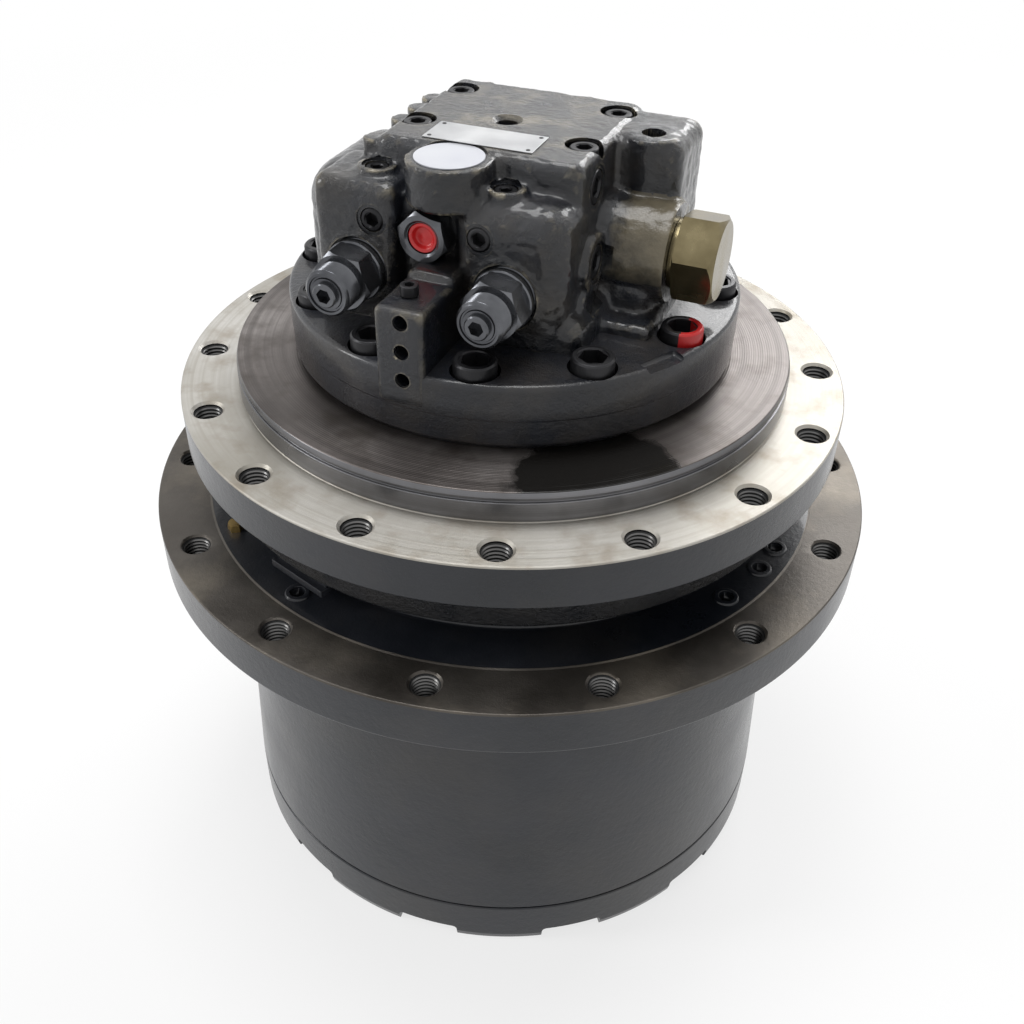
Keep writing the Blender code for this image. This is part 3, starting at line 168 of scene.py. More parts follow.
def rod(radius, low, high, sides=32, axis="Z", tip=None):
    # straight or tapered bar between two points
    clearPick()
    low, high = Vector(low), Vector(high)
    bpy.ops.mesh.primitive_cone_add(
        vertices=sides, radius1=radius, radius2=radius if tip is None else tip, depth=(high - low).length
    )
    turn = {"X": (0, math.pi / 2, 0), "Y": (-math.pi / 2, 0, 0), "Z": (0, 0, 0)}[axis]
    return put(bpy.context.active_object, (low + high) / 2, turn)


def cornerOf(flats):
    # from the axis to a hexagon's corner
    return flats / 2 / math.cos(math.pi / 6)


def prism(flats, low, high, turn=0.0):
    # hexagon standing on Z
    clearPick()
    bpy.ops.mesh.primitive_cylinder_add(vertices=6, radius=cornerOf(flats), depth=high - low)
    return put(bpy.context.active_object, (0, 0, (low + high) / 2), (0, 0, turn))


def block(low, high, rounding=0.0, segments=4):
    clearPick()
    size = Vector(high) - Vector(low)
    bpy.ops.mesh.primitive_cube_add(size=1, location=(Vector(low) + Vector(high)) / 2)
    piece = bpy.context.active_object
    piece.scale = size
    setDown(piece)
    if rounding:
        modify(piece, "BEVEL", width=min(rounding, min(size) * 0.48), segments=segments, limit_method="NONE")
    return piece


def onCircle(circle, angle):
    return circle * math.cos(angle), circle * math.sin(angle)


def ringOf(count, circle, phase, maker):
    pieces = []
    for index in range(count):
        angle = phase + index * math.tau / count
        pieces.append(maker(*onCircle(circle, angle), angle))
    return pieces


def twin(piece, matrix):
    # a copy with a mesh of its own, moved by a matrix
    other = piece.copy()
    other.data = piece.data.copy()
    bpy.context.scene.collection.objects.link(other)
    other.data.transform(matrix)
    return other


def ringOfTwins(piece, count, circle, phase, turned=False):
    # copies of one piece round the drive's axis, joined
    def copyTo(x, y, angle):
        spot = Matrix.Translation((x, y, 0))
        return twin(piece, spot @ Matrix.Rotation(angle, 4, "Z") if turned else spot)

    pieces = ringOf(count, circle, phase, copyTo)
    bpy.data.objects.remove(piece)
    return merge(pieces)


def coat(piece, test, material):
    # the faces that pass the test take this finish
    if material.name not in [m.name for m in piece.data.materials]:
        piece.data.materials.append(material)
    slot = [m.name for m in piece.data.materials].index(material.name)
    for face in piece.data.polygons:
        if test(face.center, face.normal):
            face.material_index = slot


def finishPiece(piece, name, material, body, nodes=(), angle=32):
    only(piece)
    bpy.ops.object.shade_smooth_by_angle(angle=math.radians(angle))
    if len(piece.data.polygons) < 60000:
        modify(piece, "WEIGHTED_NORMAL", keep_sharp=True, weight=80)
    piece.name = name
    piece.data.name = name
    piece.data.materials.clear()
    piece.data.materials.append(material)
    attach(piece, body)
    if nodes:
        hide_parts(*nodes)
    return piece


# finishes
def newMaterial(name, rough, metal, coatWeight=0.0, coatRough=0.1):
    material = bpy.data.materials.new(name)
    material.use_nodes = True
    shader = material.node_tree.nodes["Principled BSDF"]
    shader.inputs["Roughness"].default_value = rough
    shader.inputs["Metallic"].default_value = metal
    if coatWeight:
        shader.inputs["Specular IOR Level"].default_value = 0.3
        shader.inputs["Coat Weight"].default_value = coatWeight
        shader.inputs["Coat Roughness"].default_value = coatRough
    return material, material.node_tree, shader


def noiseOf(tree, scale, detail=4.0, stretch=(1, 1, 1), rough=0.55):
    place = tree.nodes.new("ShaderNodeTexCoord")
    mapping = tree.nodes.new("ShaderNodeMapping")
    mapping.inputs["Scale"].default_value = stretch
    noise = tree.nodes.new("ShaderNodeTexNoise")
    noise.inputs["Scale"].default_value = scale
    noise.inputs["Detail"].default_value = detail
    noise.inputs["Roughness"].default_value = rough
    tree.links.new(place.outputs["Object"], mapping.inputs["Vector"])
    tree.links.new(mapping.outputs["Vector"], noise.inputs["Vector"])
    return noise.outputs["Fac"]


def rampOf(tree, source, stops):
    ramp = tree.nodes.new("ShaderNodeValToRGB")
    while len(ramp.color_ramp.elements) < len(stops):
        ramp.color_ramp.elements.new(0.5)
    for element, (spot, colour) in zip(ramp.color_ramp.elements, stops):
        element.position = spot
        element.color = tuple(colour) + (1,)
    tree.links.new(source, ramp.inputs["Fac"])
    return ramp.outputs["Color"]


def rangeOf(tree, source, low, high, toLow, toHigh):
    remap = tree.nodes.new("ShaderNodeMapRange")
    remap.inputs["From Min"].default_value = low
    remap.inputs["From Max"].default_value = high
    remap.inputs["To Min"].default_value = toLow
    remap.inputs["To Max"].default_value = toHigh
    tree.links.new(source, remap.inputs["Value"])
    return remap.outputs["Result"]


def mixOf(tree, factor, first, second):
    mix = tree.nodes.new("ShaderNodeMix")
    mix.data_type = "RGBA"
    for socket, value in ((mix.inputs[0], factor), (mix.inputs[6], first), (mix.inputs[7], second)):
        if isinstance(value, (tuple, list)):
            socket.default_value = tuple(value) + (1,)
        elif isinstance(value, float):
            socket.default_value = value
        else:
            tree.links.new(value, socket)
    return mix.outputs[2]


def mathOf(tree, operation, *values):
    node = tree.nodes.new("ShaderNodeMath")
    node.operation = operation
    for socket, value in zip(node.inputs, values):
        if isinstance(value, float):
            socket.default_value = value
        else:
            tree.links.new(value, socket)
    return node.outputs["Value"]


def bumpOf(tree, shader, heights):
    # heights are (source, strength, distance), one bump over the other
    last = None
    for source, strength, distance in heights:
        bump = tree.nodes.new("ShaderNodeBump")
        bump.inputs["Strength"].default_value = strength
        bump.inputs["Distance"].default_value = distance
        tree.links.new(source, bump.inputs["Height"])
        if last:
            tree.links.new(last, bump.inputs["Normal"])
        last = bump.outputs["Normal"]
    tree.links.new(last, shader.inputs["Normal"])


def radiusOf(tree):
    # distance from the drive's axis
    place = tree.nodes.new("ShaderNodeTexCoord")
    flat = tree.nodes.new("ShaderNodeVectorMath")
    flat.operation = "MULTIPLY"
    flat.inputs[1].default_value = (1, 1, 0)
    length = tree.nodes.new("ShaderNodeVectorMath")
    length.operation = "LENGTH"
    tree.links.new(place.outputs["Object"], flat.inputs[0])
    tree.links.new(flat.outputs["Vector"], length.inputs[0])
    return length.outputs["Value"]


def turnedRings(tree, pitch):
    # fine tool marks round the axis
    return mathOf(tree, "SINE", mathOf(tree, "MULTIPLY", radiusOf(tree), math.tau / pitch))


def turnedLines(tree):
    # uneven tool lines: noise read along the radius and the height only
    place = tree.nodes.new("ShaderNodeTexCoord")
    parts = tree.nodes.new("ShaderNodeSeparateXYZ")
    line = tree.nodes.new("ShaderNodeCombineXYZ")
    noise = tree.nodes.new("ShaderNodeTexNoise")
    noise.inputs["Scale"].default_value = 420
    noise.inputs["Detail"].default_value = 4
    tree.links.new(place.outputs["Object"], parts.inputs["Vector"])
    tree.links.new(radiusOf(tree), line.inputs["X"])
    tree.links.new(parts.outputs["Z"], line.inputs["Y"])
    tree.links.new(line.outputs["Vector"], noise.inputs["Vector"])
    return noise.outputs["Fac"]


def castPaint(
    name, dark, light, rough, grain, depth, coatWeight, wear=None, stain=None, fade=None, metal=0.0
):
    material, tree, shader = newMaterial(name, rough, metal, coatWeight, 0.10)
    patches = noiseOf(tree, 14, 5)
    grit = noiseOf(tree, grain * 2.6, 4, rough=0.62)
    lumps = noiseOf(tree, grain * 0.8, 3)
    tone = rampOf(tree, patches, [(0.35, dark), (0.7, light)])
    if stain:
        cloud = rampOf(tree, noiseOf(tree, stain[3], 7, rough=0.65), [(0.46, (0, 0, 0)), (0.66, (1, 1, 1))])
        tone = mixOf(tree, rangeOf(tree, cloud, 0, 1, 0, stain[4]), tone, stain[:3])
    if wear:
        # paint rubbed off the convex edges shows grey-gold iron
        geometry = tree.nodes.new("ShaderNodeNewGeometry")
        edges = rangeOf(tree, geometry.outputs["Pointiness"], wear[3], wear[4], 0.0, 1.0)
        broken = rangeOf(tree, noiseOf(tree, 90, 5), 0.42, 0.60, 0.0, 1.0)
        worn = mathOf(tree, "MULTIPLY", edges, broken)
        tone = mixOf(tree, worn, tone, wear[:3])
        tree.links.new(rangeOf(tree, worn, 0, 1, 0.0, 0.85), shader.inputs["Metallic"])
    if fade:
        # back to plain dark paint below the two heights given, along X and Z: below the Z height this is
        # painted shade on the underside, and below the X height it darkens towards the block
        place = tree.nodes.new("ShaderNodeTexCoord")
        parts = tree.nodes.new("ShaderNodeSeparateXYZ")
        tree.links.new(place.outputs["Object"], parts.inputs["Vector"])
        ragged = rangeOf(tree, noiseOf(tree, 120, 5), 0.3, 0.7, -0.004, 0.004)
        for axis, start, end in fade:
            moved = mathOf(tree, "ADD", parts.outputs[axis], ragged)
            painted = rangeOf(tree, moved, start, end, 1.0, 0.0)
            tone = mixOf(tree, painted, tone, (0.010, 0.011, 0.013))
    tree.links.new(tone, shader.inputs["Base Color"])
    tree.links.new(rangeOf(tree, patches, 0.3, 0.75, rough - 0.09, rough + 0.12), shader.inputs["Roughness"])
    bumpOf(tree, shader, [(lumps, 0.7, depth * 1.6), (grit, 0.7, depth)])
    return material


def darkReflectionPool(tree, place):
    # a ragged pool of painted dark reflection round one spot
    spot = tree.nodes.new("ShaderNodeTexCoord")
    away = tree.nodes.new("ShaderNodeVectorMath")
    away.operation = "DISTANCE"
    away.inputs[1].default_value = place[:3]
    tree.links.new(spot.outputs["Object"], away.inputs[0])
    ragged = mathOf(tree, "MULTIPLY_ADD", noiseOf(tree, 28, 5), 0.045, away.outputs["Value"])
    return rangeOf(tree, ragged, place[3] + 0.006, place[3], 0.0, 1.0)


def turnedSteel(name, tones, rough, metal, pitch, stain, darkReflection=None):
    material, tree, shader = newMaterial(name, rough, metal)
    patches = noiseOf(tree, 9, 6)
    streaks = noiseOf(tree, 40, 4)
    lines = rangeOf(tree, turnedLines(tree), 0.38, 0.62, 0.0, 1.0)
    tone = rampOf(tree, patches, [(0.33, tones[0]), (0.55, tones[1]), (0.72, tones[2])])
    marks = rampOf(tree, streaks, [(0.5, (0, 0, 0)), (0.68, (1, 1, 1))])
    tone = mixOf(tree, rangeOf(tree, marks, 0, 1, 0, stain[3]), tone, stain[:3])
    tone = mixOf(tree, rangeOf(tree, lines, 0, 1, 0.0, 0.6), tone, tones[0])
    gloss = rangeOf(tree, patches, 0.3, 0.7, rough - 0.08, rough + 0.12)
    if darkReflection:
        # painted dark reflection: a glossy near-black pool darkens the steel round one spot
        darkReflectionMask = darkReflectionPool(tree, darkReflection)
        tone = mixOf(tree, darkReflectionMask, tone, (0.012, 0.011, 0.010))
        tree.links.new(rangeOf(tree, darkReflectionMask, 0, 1, metal, 0.2), shader.inputs["Metallic"])
        gloss = mixOf(tree, darkReflectionMask, gloss, (0.12, 0.12, 0.12))
    tree.links.new(tone, shader.inputs["Base Color"])
    tree.links.new(gloss, shader.inputs["Roughness"])
    rings = turnedRings(tree, pitch)
    bumpOf(tree, shader, [(rings, 0.3, 0.00008), (lines, 0.3, 0.00012), (streaks, 0.25, 0.00015)])
    return material


def plainMetal(name, dark, light, rough, metal, scale=120, depth=0.00006, coatWeight=0.0):
    material, tree, shader = newMaterial(name, rough, metal, coatWeight, 0.15)
    patches = noiseOf(tree, scale * 0.3, 4)
    grit = noiseOf(tree, scale * 6, 3)
    tree.links.new(rampOf(tree, patches, [(0.35, dark), (0.68, light)]), shader.inputs["Base Color"])
    tree.links.new(rangeOf(tree, patches, 0.3, 0.7, rough - 0.07, rough + 0.1), shader.inputs["Roughness"])
    bumpOf(tree, shader, [(grit, 0.35, depth)])
    return material


headPaint = castPaint(
    "headPaint", (0.003, 0.004, 0.006), (0.014, 0.016, 0.022), 0.23, 400, 0.0007, 0.5,
    wear=(0.40, 0.35, 0.25, 0.511, 0.58), stain=(0.070, 0.052, 0.030, 26, 0.26),
)
basePaint = castPaint(
    "basePaint", (0.005, 0.006, 0.009), (0.017, 0.019, 0.025), 0.31, 380, 0.0004, 0.4,
    stain=(0.070, 0.055, 0.036, 22, 0.26),
)
drumPaint = castPaint(
    "drumPaint", (0.007, 0.009, 0.013), (0.021, 0.023, 0.029), 0.33, 260, 0.0002, 0.3,
    stain=(0.045, 0.040, 0.034, 9, 0.35),
)
flangeSteel = castPaint(
    "flangeSteel", (0.050, 0.044, 0.038), (0.105, 0.095, 0.084), 0.40, 420, 0.00012, 0.0,
    stain=(0.19, 0.165, 0.13, 16, 0.45), metal=0.75,
)
skirtPaint = castPaint(
    "skirtPaint", (0.004, 0.005, 0.007), (0.014, 0.015, 0.018), 0.24, 420, 0.0009, 0.5,
    stain=(0.05, 0.046, 0.04, 18, 0.3),
)
frameSteel = turnedSteel(
    "frameSteel", [(0.33, 0.31, 0.27), (0.46, 0.445, 0.415), (0.53, 0.52, 0.50)], 0.43, 0.7, 0.0006,
    (0.17, 0.125, 0.07, 0.5),
)
# the dish carries a pool of painted dark reflection on its front
dishSteel = turnedSteel(
    "dishSteel", [(0.075, 0.066, 0.062), (0.15, 0.134, 0.127), (0.27, 0.25, 0.24)], 0.35, 0.85, 0.0014,
    (0.05, 0.040, 0.032, 0.6), darkReflection=(0.098, -0.128, 0.3685, 0.062),
)
wallSteel = turnedSteel(
    "wallSteel", [(0.13, 0.13, 0.135), (0.20, 0.20, 0.21), (0.30, 0.30, 0.31)], 0.30, 0.85, 0.0011,
    (0.07, 0.065, 0.06, 0.3),
)
blackOxide = plainMetal("blackOxide", (0.012, 0.012, 0.014), (0.035, 0.035, 0.038), 0.34, 0.55)
threadSteel = plainMetal("threadSteel", (0.10, 0.10, 0.10), (0.20, 0.195, 0.19), 0.32, 0.85)
# near-black painted shade for the thread roots
threadRootShade = plainMetal("threadRootShade", (0.004, 0.004, 0.004), (0.012, 0.012, 0.012), 0.6, 0.2)
brassPlug = plainMetal("brassPlug", (0.45, 0.30, 0.10), (0.62, 0.44, 0.17), 0.28, 1.0)
valveSteel = plainMetal("valveSteel", (0.075, 0.078, 0.086), (0.170, 0.175, 0.188), 0.22, 0.85)
olivePlate = plainMetal("olivePlate", (0.13, 0.105, 0.055), (0.25, 0.21, 0.12), 0.22, 0.92)
bareAluminium = plainMetal("bareAluminium", (0.40, 0.405, 0.415), (0.52, 0.525, 0.53), 0.45, 0.6)
whiteFilm = plainMetal("whiteFilm", (0.50, 0.51, 0.56), (0.58, 0.59, 0.62), 0.45, 0.0, 60)
# gold worn paint on the spool boss's upper half, with painted shade fading in below its middle
bossWearAndShade = castPaint(
    "bossWearAndShade", (0.055, 0.046, 0.030), (0.26, 0.225, 0.155), 0.27, 300, 0.0003, 0.2,
    stain=(0.015, 0.015, 0.016, 26, 0.6), fade=(("X", 0.068, 0.077), ("Z", baseZ + 0.064, baseZ + 0.078)),
)
redPlastic = plainMetal("redPlastic", (0.62, 0.018, 0.02), (0.80, 0.05, 0.05), 0.28, 0.0, 60)
redPaint = plainMetal("redPaint", (0.50, 0.012, 0.014), (0.66, 0.03, 0.03), 0.35, 0.0, 60)
innerSteel = plainMetal("innerSteel", (0.28, 0.28, 0.29), (0.42, 0.42, 0.43), 0.3, 1.0)
innerBronze = plainMetal("innerBronze", (0.40, 0.26, 0.10), (0.50, 0.34, 0.15), 0.35, 1.0)
innerLining = plainMetal("innerLining", (0.07, 0.05, 0.035), (0.12, 0.09, 0.06), 0.8, 0.0)
print("finishes ready")


# drum and sprocket flange
drumShape = {
    "flangeRadius": 0.234, "flangeLow": 0.2394, "flangeHigh": 0.2691, "drumTop": 0.1845, "drumFoot": 0.193,
    "neck": 0.168, "neckHigh": 0.2971, "holes": 14, "holeCircle": 0.2164, "holePhase": math.radians(-157.3),
    "drill": 0.0086, "countersink": 0.0099, "stepRadius": 0.200, "plugCircle": 0.188,
    "plugRadius": 0.0045, "plugDegrees": (-109.5, -25.5, -14.5, -7.3, 70, 160),
    "brassFlats": 0.009, "brassCircle": 0.190, "brassDegrees": 227,
}


def threadLiner(drill, crest, low, high, pitch=0.0025, steps=28):
    # closed sleeve with ridges inside
    inner = []
    turns = int((high - low) / pitch)
    for index in range(turns):
        base = low + index * pitch
        middle = (crest + drill) / 2
        inner += [(drill - 0.0001, base), (crest, base + pitch * 0.45), (middle, base + pitch * 0.72)]
    inner.append((drill - 0.0001, low + turns * pitch))
    return lathe(inner + [(drill + 0.0003, low + turns * pitch), (drill + 0.0003, low)], steps)


def inGroove(height, pitch=0.0025):
    # the root half of each thread, which takes painted shade
    return not 0.45 < height / pitch % 1 < 0.72


def tapHole(x, y, low, high, drill, countersink):
    # drill with a chamfered mouth at its upper end
    mouth = high - (countersink - drill)
    over = 0.0006
    corners = [(0, low), (drill, low), (drill, mouth), (countersink + over, high + over), (0, high + over)]
    return put(lathe(corners, 36, closed=False), (x, y, 0))


def makeDrum(s):
    low, high, wall, foot = s["flangeLow"], s["flangeHigh"], s["drumTop"], s["drumFoot"]
    corners = [
        (0.150, s["neckHigh"], 0.001), (s["neck"], s["neckHigh"], 0.003), (s["neck"], high + 0.0005, 0.003),
        (s["stepRadius"], high + 0.0005, 0.0008), (s["stepRadius"] + 0.0012, high, 0.0004),
        (s["flangeRadius"], high, 0.0012), (s["flangeRadius"], low, 0.0015), (wall + 0.0022, low, 0.004),
        (wall + 0.0016, low - 0.009, 0.002), (wall, low - 0.012, 0.003), (foot, 0.0375, 0.001),
        (foot - 0.001, 0.0355, 0.0),
        (0.1695, 0.0355, 0), (0.1695, 0.0418, 0), (0.150, 0.0418, 0), (0.150, 0.1548, 0), (0.142, 0.1548, 0),
        (0.142, 0.2017, 0), (0.134, 0.2017, 0), (0.134, 0.2281, 0), (0.142, 0.2281, 0), (0.142, 0.2644, 0),
        (0.150, 0.2644, 0),
    ]
    drum = lathe(softCorners(corners), 200)
    # the ring gear's teeth come from the solid's own bore
    core = rod(0.1755, (0, 0, 0.0424), (0, 0, 0.1545), 180)
    teeth = twin(frame["nodes"]["hub"], Matrix.Identity(4))
    teeth.parent = None
    only(teeth)
    bpy.ops.object.mode_set(mode="EDIT")
    bpy.ops.mesh.select_all(action="SELECT")
    bpy.ops.mesh.remove_doubles(threshold=0.00001)
    bpy.ops.object.mode_set(mode="OBJECT")
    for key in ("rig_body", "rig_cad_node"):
        del teeth[key]
    carve(core, [teeth])
    holes = ringOf(
        s["holes"], s["holeCircle"], s["holePhase"],
        lambda x, y, a: tapHole(x, y, s["flangeLow"] - 0.002, s["flangeHigh"], s["drill"], s["countersink"]),
    )
    small = []
    pads = []
    for degrees in s["plugDegrees"]:
        x, y = onCircle(s["plugCircle"], math.radians(degrees))
        small.append(rod(s["plugRadius"], (x, y, 0.262), (x, y, 0.272), 24))
        pad = lathe(softCorners([
            (s["plugRadius"] + 0.0001, 0.2690, 0), (s["plugRadius"] + 0.0001, 0.2709, 0.0003),
            (s["plugRadius"] + 0.0026, 0.2709, 0.0008), (s["plugRadius"] + 0.0034, 0.2690, 0),
        ], 3), 40)
        pads.append(put(pad, (x, y, 0)))
    carve(drum, holes + small + [core])
    drum = merge([drum] + pads)
    finishPiece(drum, "drumCasting", drumPaint, "hub", ["hub"], 30)
    coat(drum, lambda c, n: c.z > s["flangeHigh"] - 0.002 and math.hypot(c.x, c.y) > 0.1998, flangeSteel)
    liner = threadLiner(s["drill"], s["drill"] - 0.0013, s["flangeLow"] + 0.0004, s["flangeHigh"] - 0.0010)
    liners = ringOfTwins(liner, s["holes"], s["holeCircle"], s["holePhase"])
    threads = finishPiece(liners, "sprocketThreads", threadSteel, "hub", angle=20)
    # thread roots take painted shade
    coat(threads, lambda c, n: inGroove(c.z - s["flangeLow"] - 0.0004), threadRootShade)
    # brass hexagon plug, its corners turned off
    cap = prism(s["brassFlats"], high - 0.001, high + 0.0052)
    cone = rod(0.0062, (0, 0, high - 0.002), (0, 0, high + 0.0056), 24, tip=0.0044)
    carve(cap, [cone], "INTERSECT")
    put(cap, (*onCircle(s["brassCircle"], math.radians(s["brassDegrees"])), 0))
    finishPiece(cap, "hubBrassPlug", brassPlug, "hub")
    print("drum done")


makeDrum(drumShape)


# end cover
coverShape = {
    "radius": 0.1931, "height": 0.0352, "lugs": 12, "lugAngle": math.radians(17.5),
    "lugPhase": math.radians(-68.9),
    "notchDepth": 0.010, "screwCircle": 0.178, "screwFlats": 0.018,
}


def makeCover(s):
    corners = [
        (0, 0.0212, 0), (0.030, 0.0212, 0.002), (0.036, 0.0172, 0.002), (0.144, 0.0172, 0.006),
        (0.152, 0.002, 0.002), (0.1585, 0.0, 0.001), (s["radius"] - 0.0015, 0.0, 0.002),
        (s["radius"], 0.006, 0.002),
        (s["radius"], s["height"], 0.0012), (0.1692, s["height"], 0), (0.1692, 0.0409, 0.0006),
        (0.1595, 0.0409, 0), (0.1595, s["height"], 0), (0, s["height"], 0),
    ]
    cover = lathe(softCorners(corners), 200, closed=False)
    notches = []
    for index in range(s["lugs"]):
        middle = s["lugPhase"] + (index + 0.5) * math.tau / s["lugs"]
        half = math.pi / s["lugs"] - s["lugAngle"] / 2
        width = 2 * s["radius"] * math.sin(half)
        notch = block((0.166, -width / 2, -0.006), (0.206, width / 2, s["notchDepth"]), 0.003, 3)
        notches.append(put(notch, (0, 0, 0), (0, 0, middle)))
    carve(cover, notches)
    finishPiece(cover, "coverCasting", drumPaint, "hub", ["end_cover"])
    # one hexagon screw, copied into the notches
    head = prism(s["screwFlats"], 0.0022, 0.0098)
    carve(head, [rod(0.0128, (0, 0, 0.0), (0, 0, 0.012), 48, tip=0.0096)], "INTERSECT")
    crown = lathe(softCorners([
        (0, 0.0022, 0), (0.0092, 0.0022, 0.0008), (0.0104, 0.0098, 0.0), (0.0104, 0.0100, 0), (0, 0.0100, 0),
    ]), 32, False)
    middlePhase = s["lugPhase"] + math.pi / s["lugs"]
    screws = ringOfTwins(merge([head, crown]), s["lugs"], s["screwCircle"], middlePhase, turned=True)
    finishPiece(screws, "coverScrews", blackOxide, "hub")
    print("end cover done")


makeCover(coverShape)


headShape = {
    "voxel": 0.0014, "smoothSteps": 7, "sandSize": 0.006, "sandDepth": 0.0011,
    "baseRadius": 0.1365, "baseHigh": 0.042,
    "bolts": 12, "boltCircle": 0.121, "boltPhase": math.radians(12), "boltSeat": 0.0320, "boltHole": 0.0083,
    "boreRadius": 0.0138, "spoolY": -0.010, "spoolZ": 0.0768, "spoolBoss": 0.0282, "spoolEnd": 0.101,
    "spoolBore": 0.0121, "spoolTravel": 0.0075, "padPlugs": ((-0.054, -0.0685), (0.0215, -0.0700)),
    "valveX": (-0.059, 0.029), "valveZ": 0.070, "portX": -0.0195, "portZ": 0.094, "tabX": -0.00855,
    "tabHole": 0.0702, "tabPitch": 0.0168, "screwSeat": 0.127,
    "screws": ((-0.049, -0.028), (-0.049, 0.031), (0.049, 0.031), (0.049, -0.028)),
}

# frame flange, dish and seal skirt
flangeShape = {
    "radius": 0.208, "low": 0.3201, "high": 0.3481, "dishRadius": 0.1725, "dishHigh": 0.3678, "holes": 16,
    "holeCircle": 0.1937, "holePhase": math.radians(-160.4), "drill": 0.0086, "countersink": 0.0102,
    "lipCircle": 0.1850, "lipDegrees": 251,
}


def makeFlange(s):
    rim, top = s["dishRadius"], s["dishHigh"]
    corners = [
        (0.098, top, 0), (rim - 0.001, top, 0.0012), (rim, top - 0.004, 0.0008),
        (rim - 0.0014, top - 0.0045, 0.0003), (rim - 0.0014, top - 0.0062, 0.0003),
        (rim, top - 0.0067, 0.0003), (rim, s["high"] + 0.0022, 0.0005),
        (rim - 0.001, s["high"] + 0.0016, 0.0003), (rim - 0.001, s["high"], 0.0008),
        (s["radius"], s["high"], 0.0013), (s["radius"], s["low"], 0.0013), (0.1935, s["low"], 0.002),
        (0.1905, 0.2911, 0.003), (0.1735, 0.2911, 0.002), (0.1765, 0.3121, 0.002), (0.120, 0.3121, 0),
        (0.120, 0.2607, 0), (0.112, 0.2607, 0), (0.112, 0.1694, 0), (0.082, 0.1694, 0), (0.082, 0.2275, 0),
        (0.0223, 0.2275, 0),
        (0.0223, 0.2475, 0), (0.086, 0.2475, 0), (0.086, 0.3218, 0), (0.098, 0.3218, 0),
    ]
    flange = lathe(softCorners(corners), 208)
    holes = ringOf(
        s["holes"], s["holeCircle"], s["holePhase"],
        lambda x, y, a: tapHole(x, y, s["low"] - 0.002, s["high"], s["drill"], s["countersink"]),
    )
    bolts = ringOf(
        headShape["bolts"], headShape["boltCircle"], headShape["boltPhase"],
        lambda x, y, a: rod(headShape["boltHole"], (x, y, 0.3561), (x, y, 0.3700), 24),
    )
    # the skirt's left part is cut away behind a raised lip
    gap = []
    for degrees in range(168, 216, 8):
        a = math.radians(degrees)
        wedge = block((0.180, -0.016, 0.288), (0.206, 0.016, 0.3085), 0.003, 2)
        gap.append(put(wedge, (0, 0, 0), (0, 0, a)))
    carve(flange, holes + bolts)
    for wedge in gap:
        carve(flange, [wedge])
    finishPiece(flange, "flangeCasting", skirtPaint, "spindle", ["spindle"], 30)
    out = lambda c: math.hypot(c.x, c.y)
    coat(flange, lambda c, n: out(c) > 0.1965 and c.z > s["low"] - 0.001, drumPaint)
    coat(flange, lambda c, n: c.z > s["high"] - 0.0016 and out(c) > 0.171, frameSteel)
    coat(flange, lambda c, n: c.z > s["high"] + 0.0008 and out(c) < 0.1732, wallSteel)
    coat(flange, lambda c, n: c.z > s["dishHigh"] - 0.0006 and out(c) < 0.1722, dishSteel)
    coat(flange, lambda c, n: out(c) < 0.16 and c.z < 0.31, innerSteel)
    liner = threadLiner(s["drill"], s["drill"] - 0.0013, s["low"] + 0.0004, s["high"] - 0.0012)
    liners = ringOfTwins(liner, s["holes"], s["holeCircle"], s["holePhase"])
    threads = finishPiece(liners, "frameThreads", threadSteel, "spindle", angle=20)
    # thread roots take painted shade
    coat(threads, lambda c, n: inGroove(c.z - s["low"] - 0.0004), threadRootShade)
    # lip left standing where the skirt is cut away
    lip = [block((-0.022, -0.0040, 0.2800), (0.022, 0.0035, 0.2850), 0.0008, 2)]
    lip.append(block((-0.021, 0.0005, 0.2840), (0.021, 0.0030, 0.2935)))
    a = math.radians(s["lipDegrees"])
    lip = put(merge(lip), (*onCircle(s["lipCircle"], a), 0), (0, 0, a + math.pi / 2))
    finishPiece(lip, "skirtLip", drumPaint, "spindle")
    print("frame flange done")


makeFlange(flangeShape)


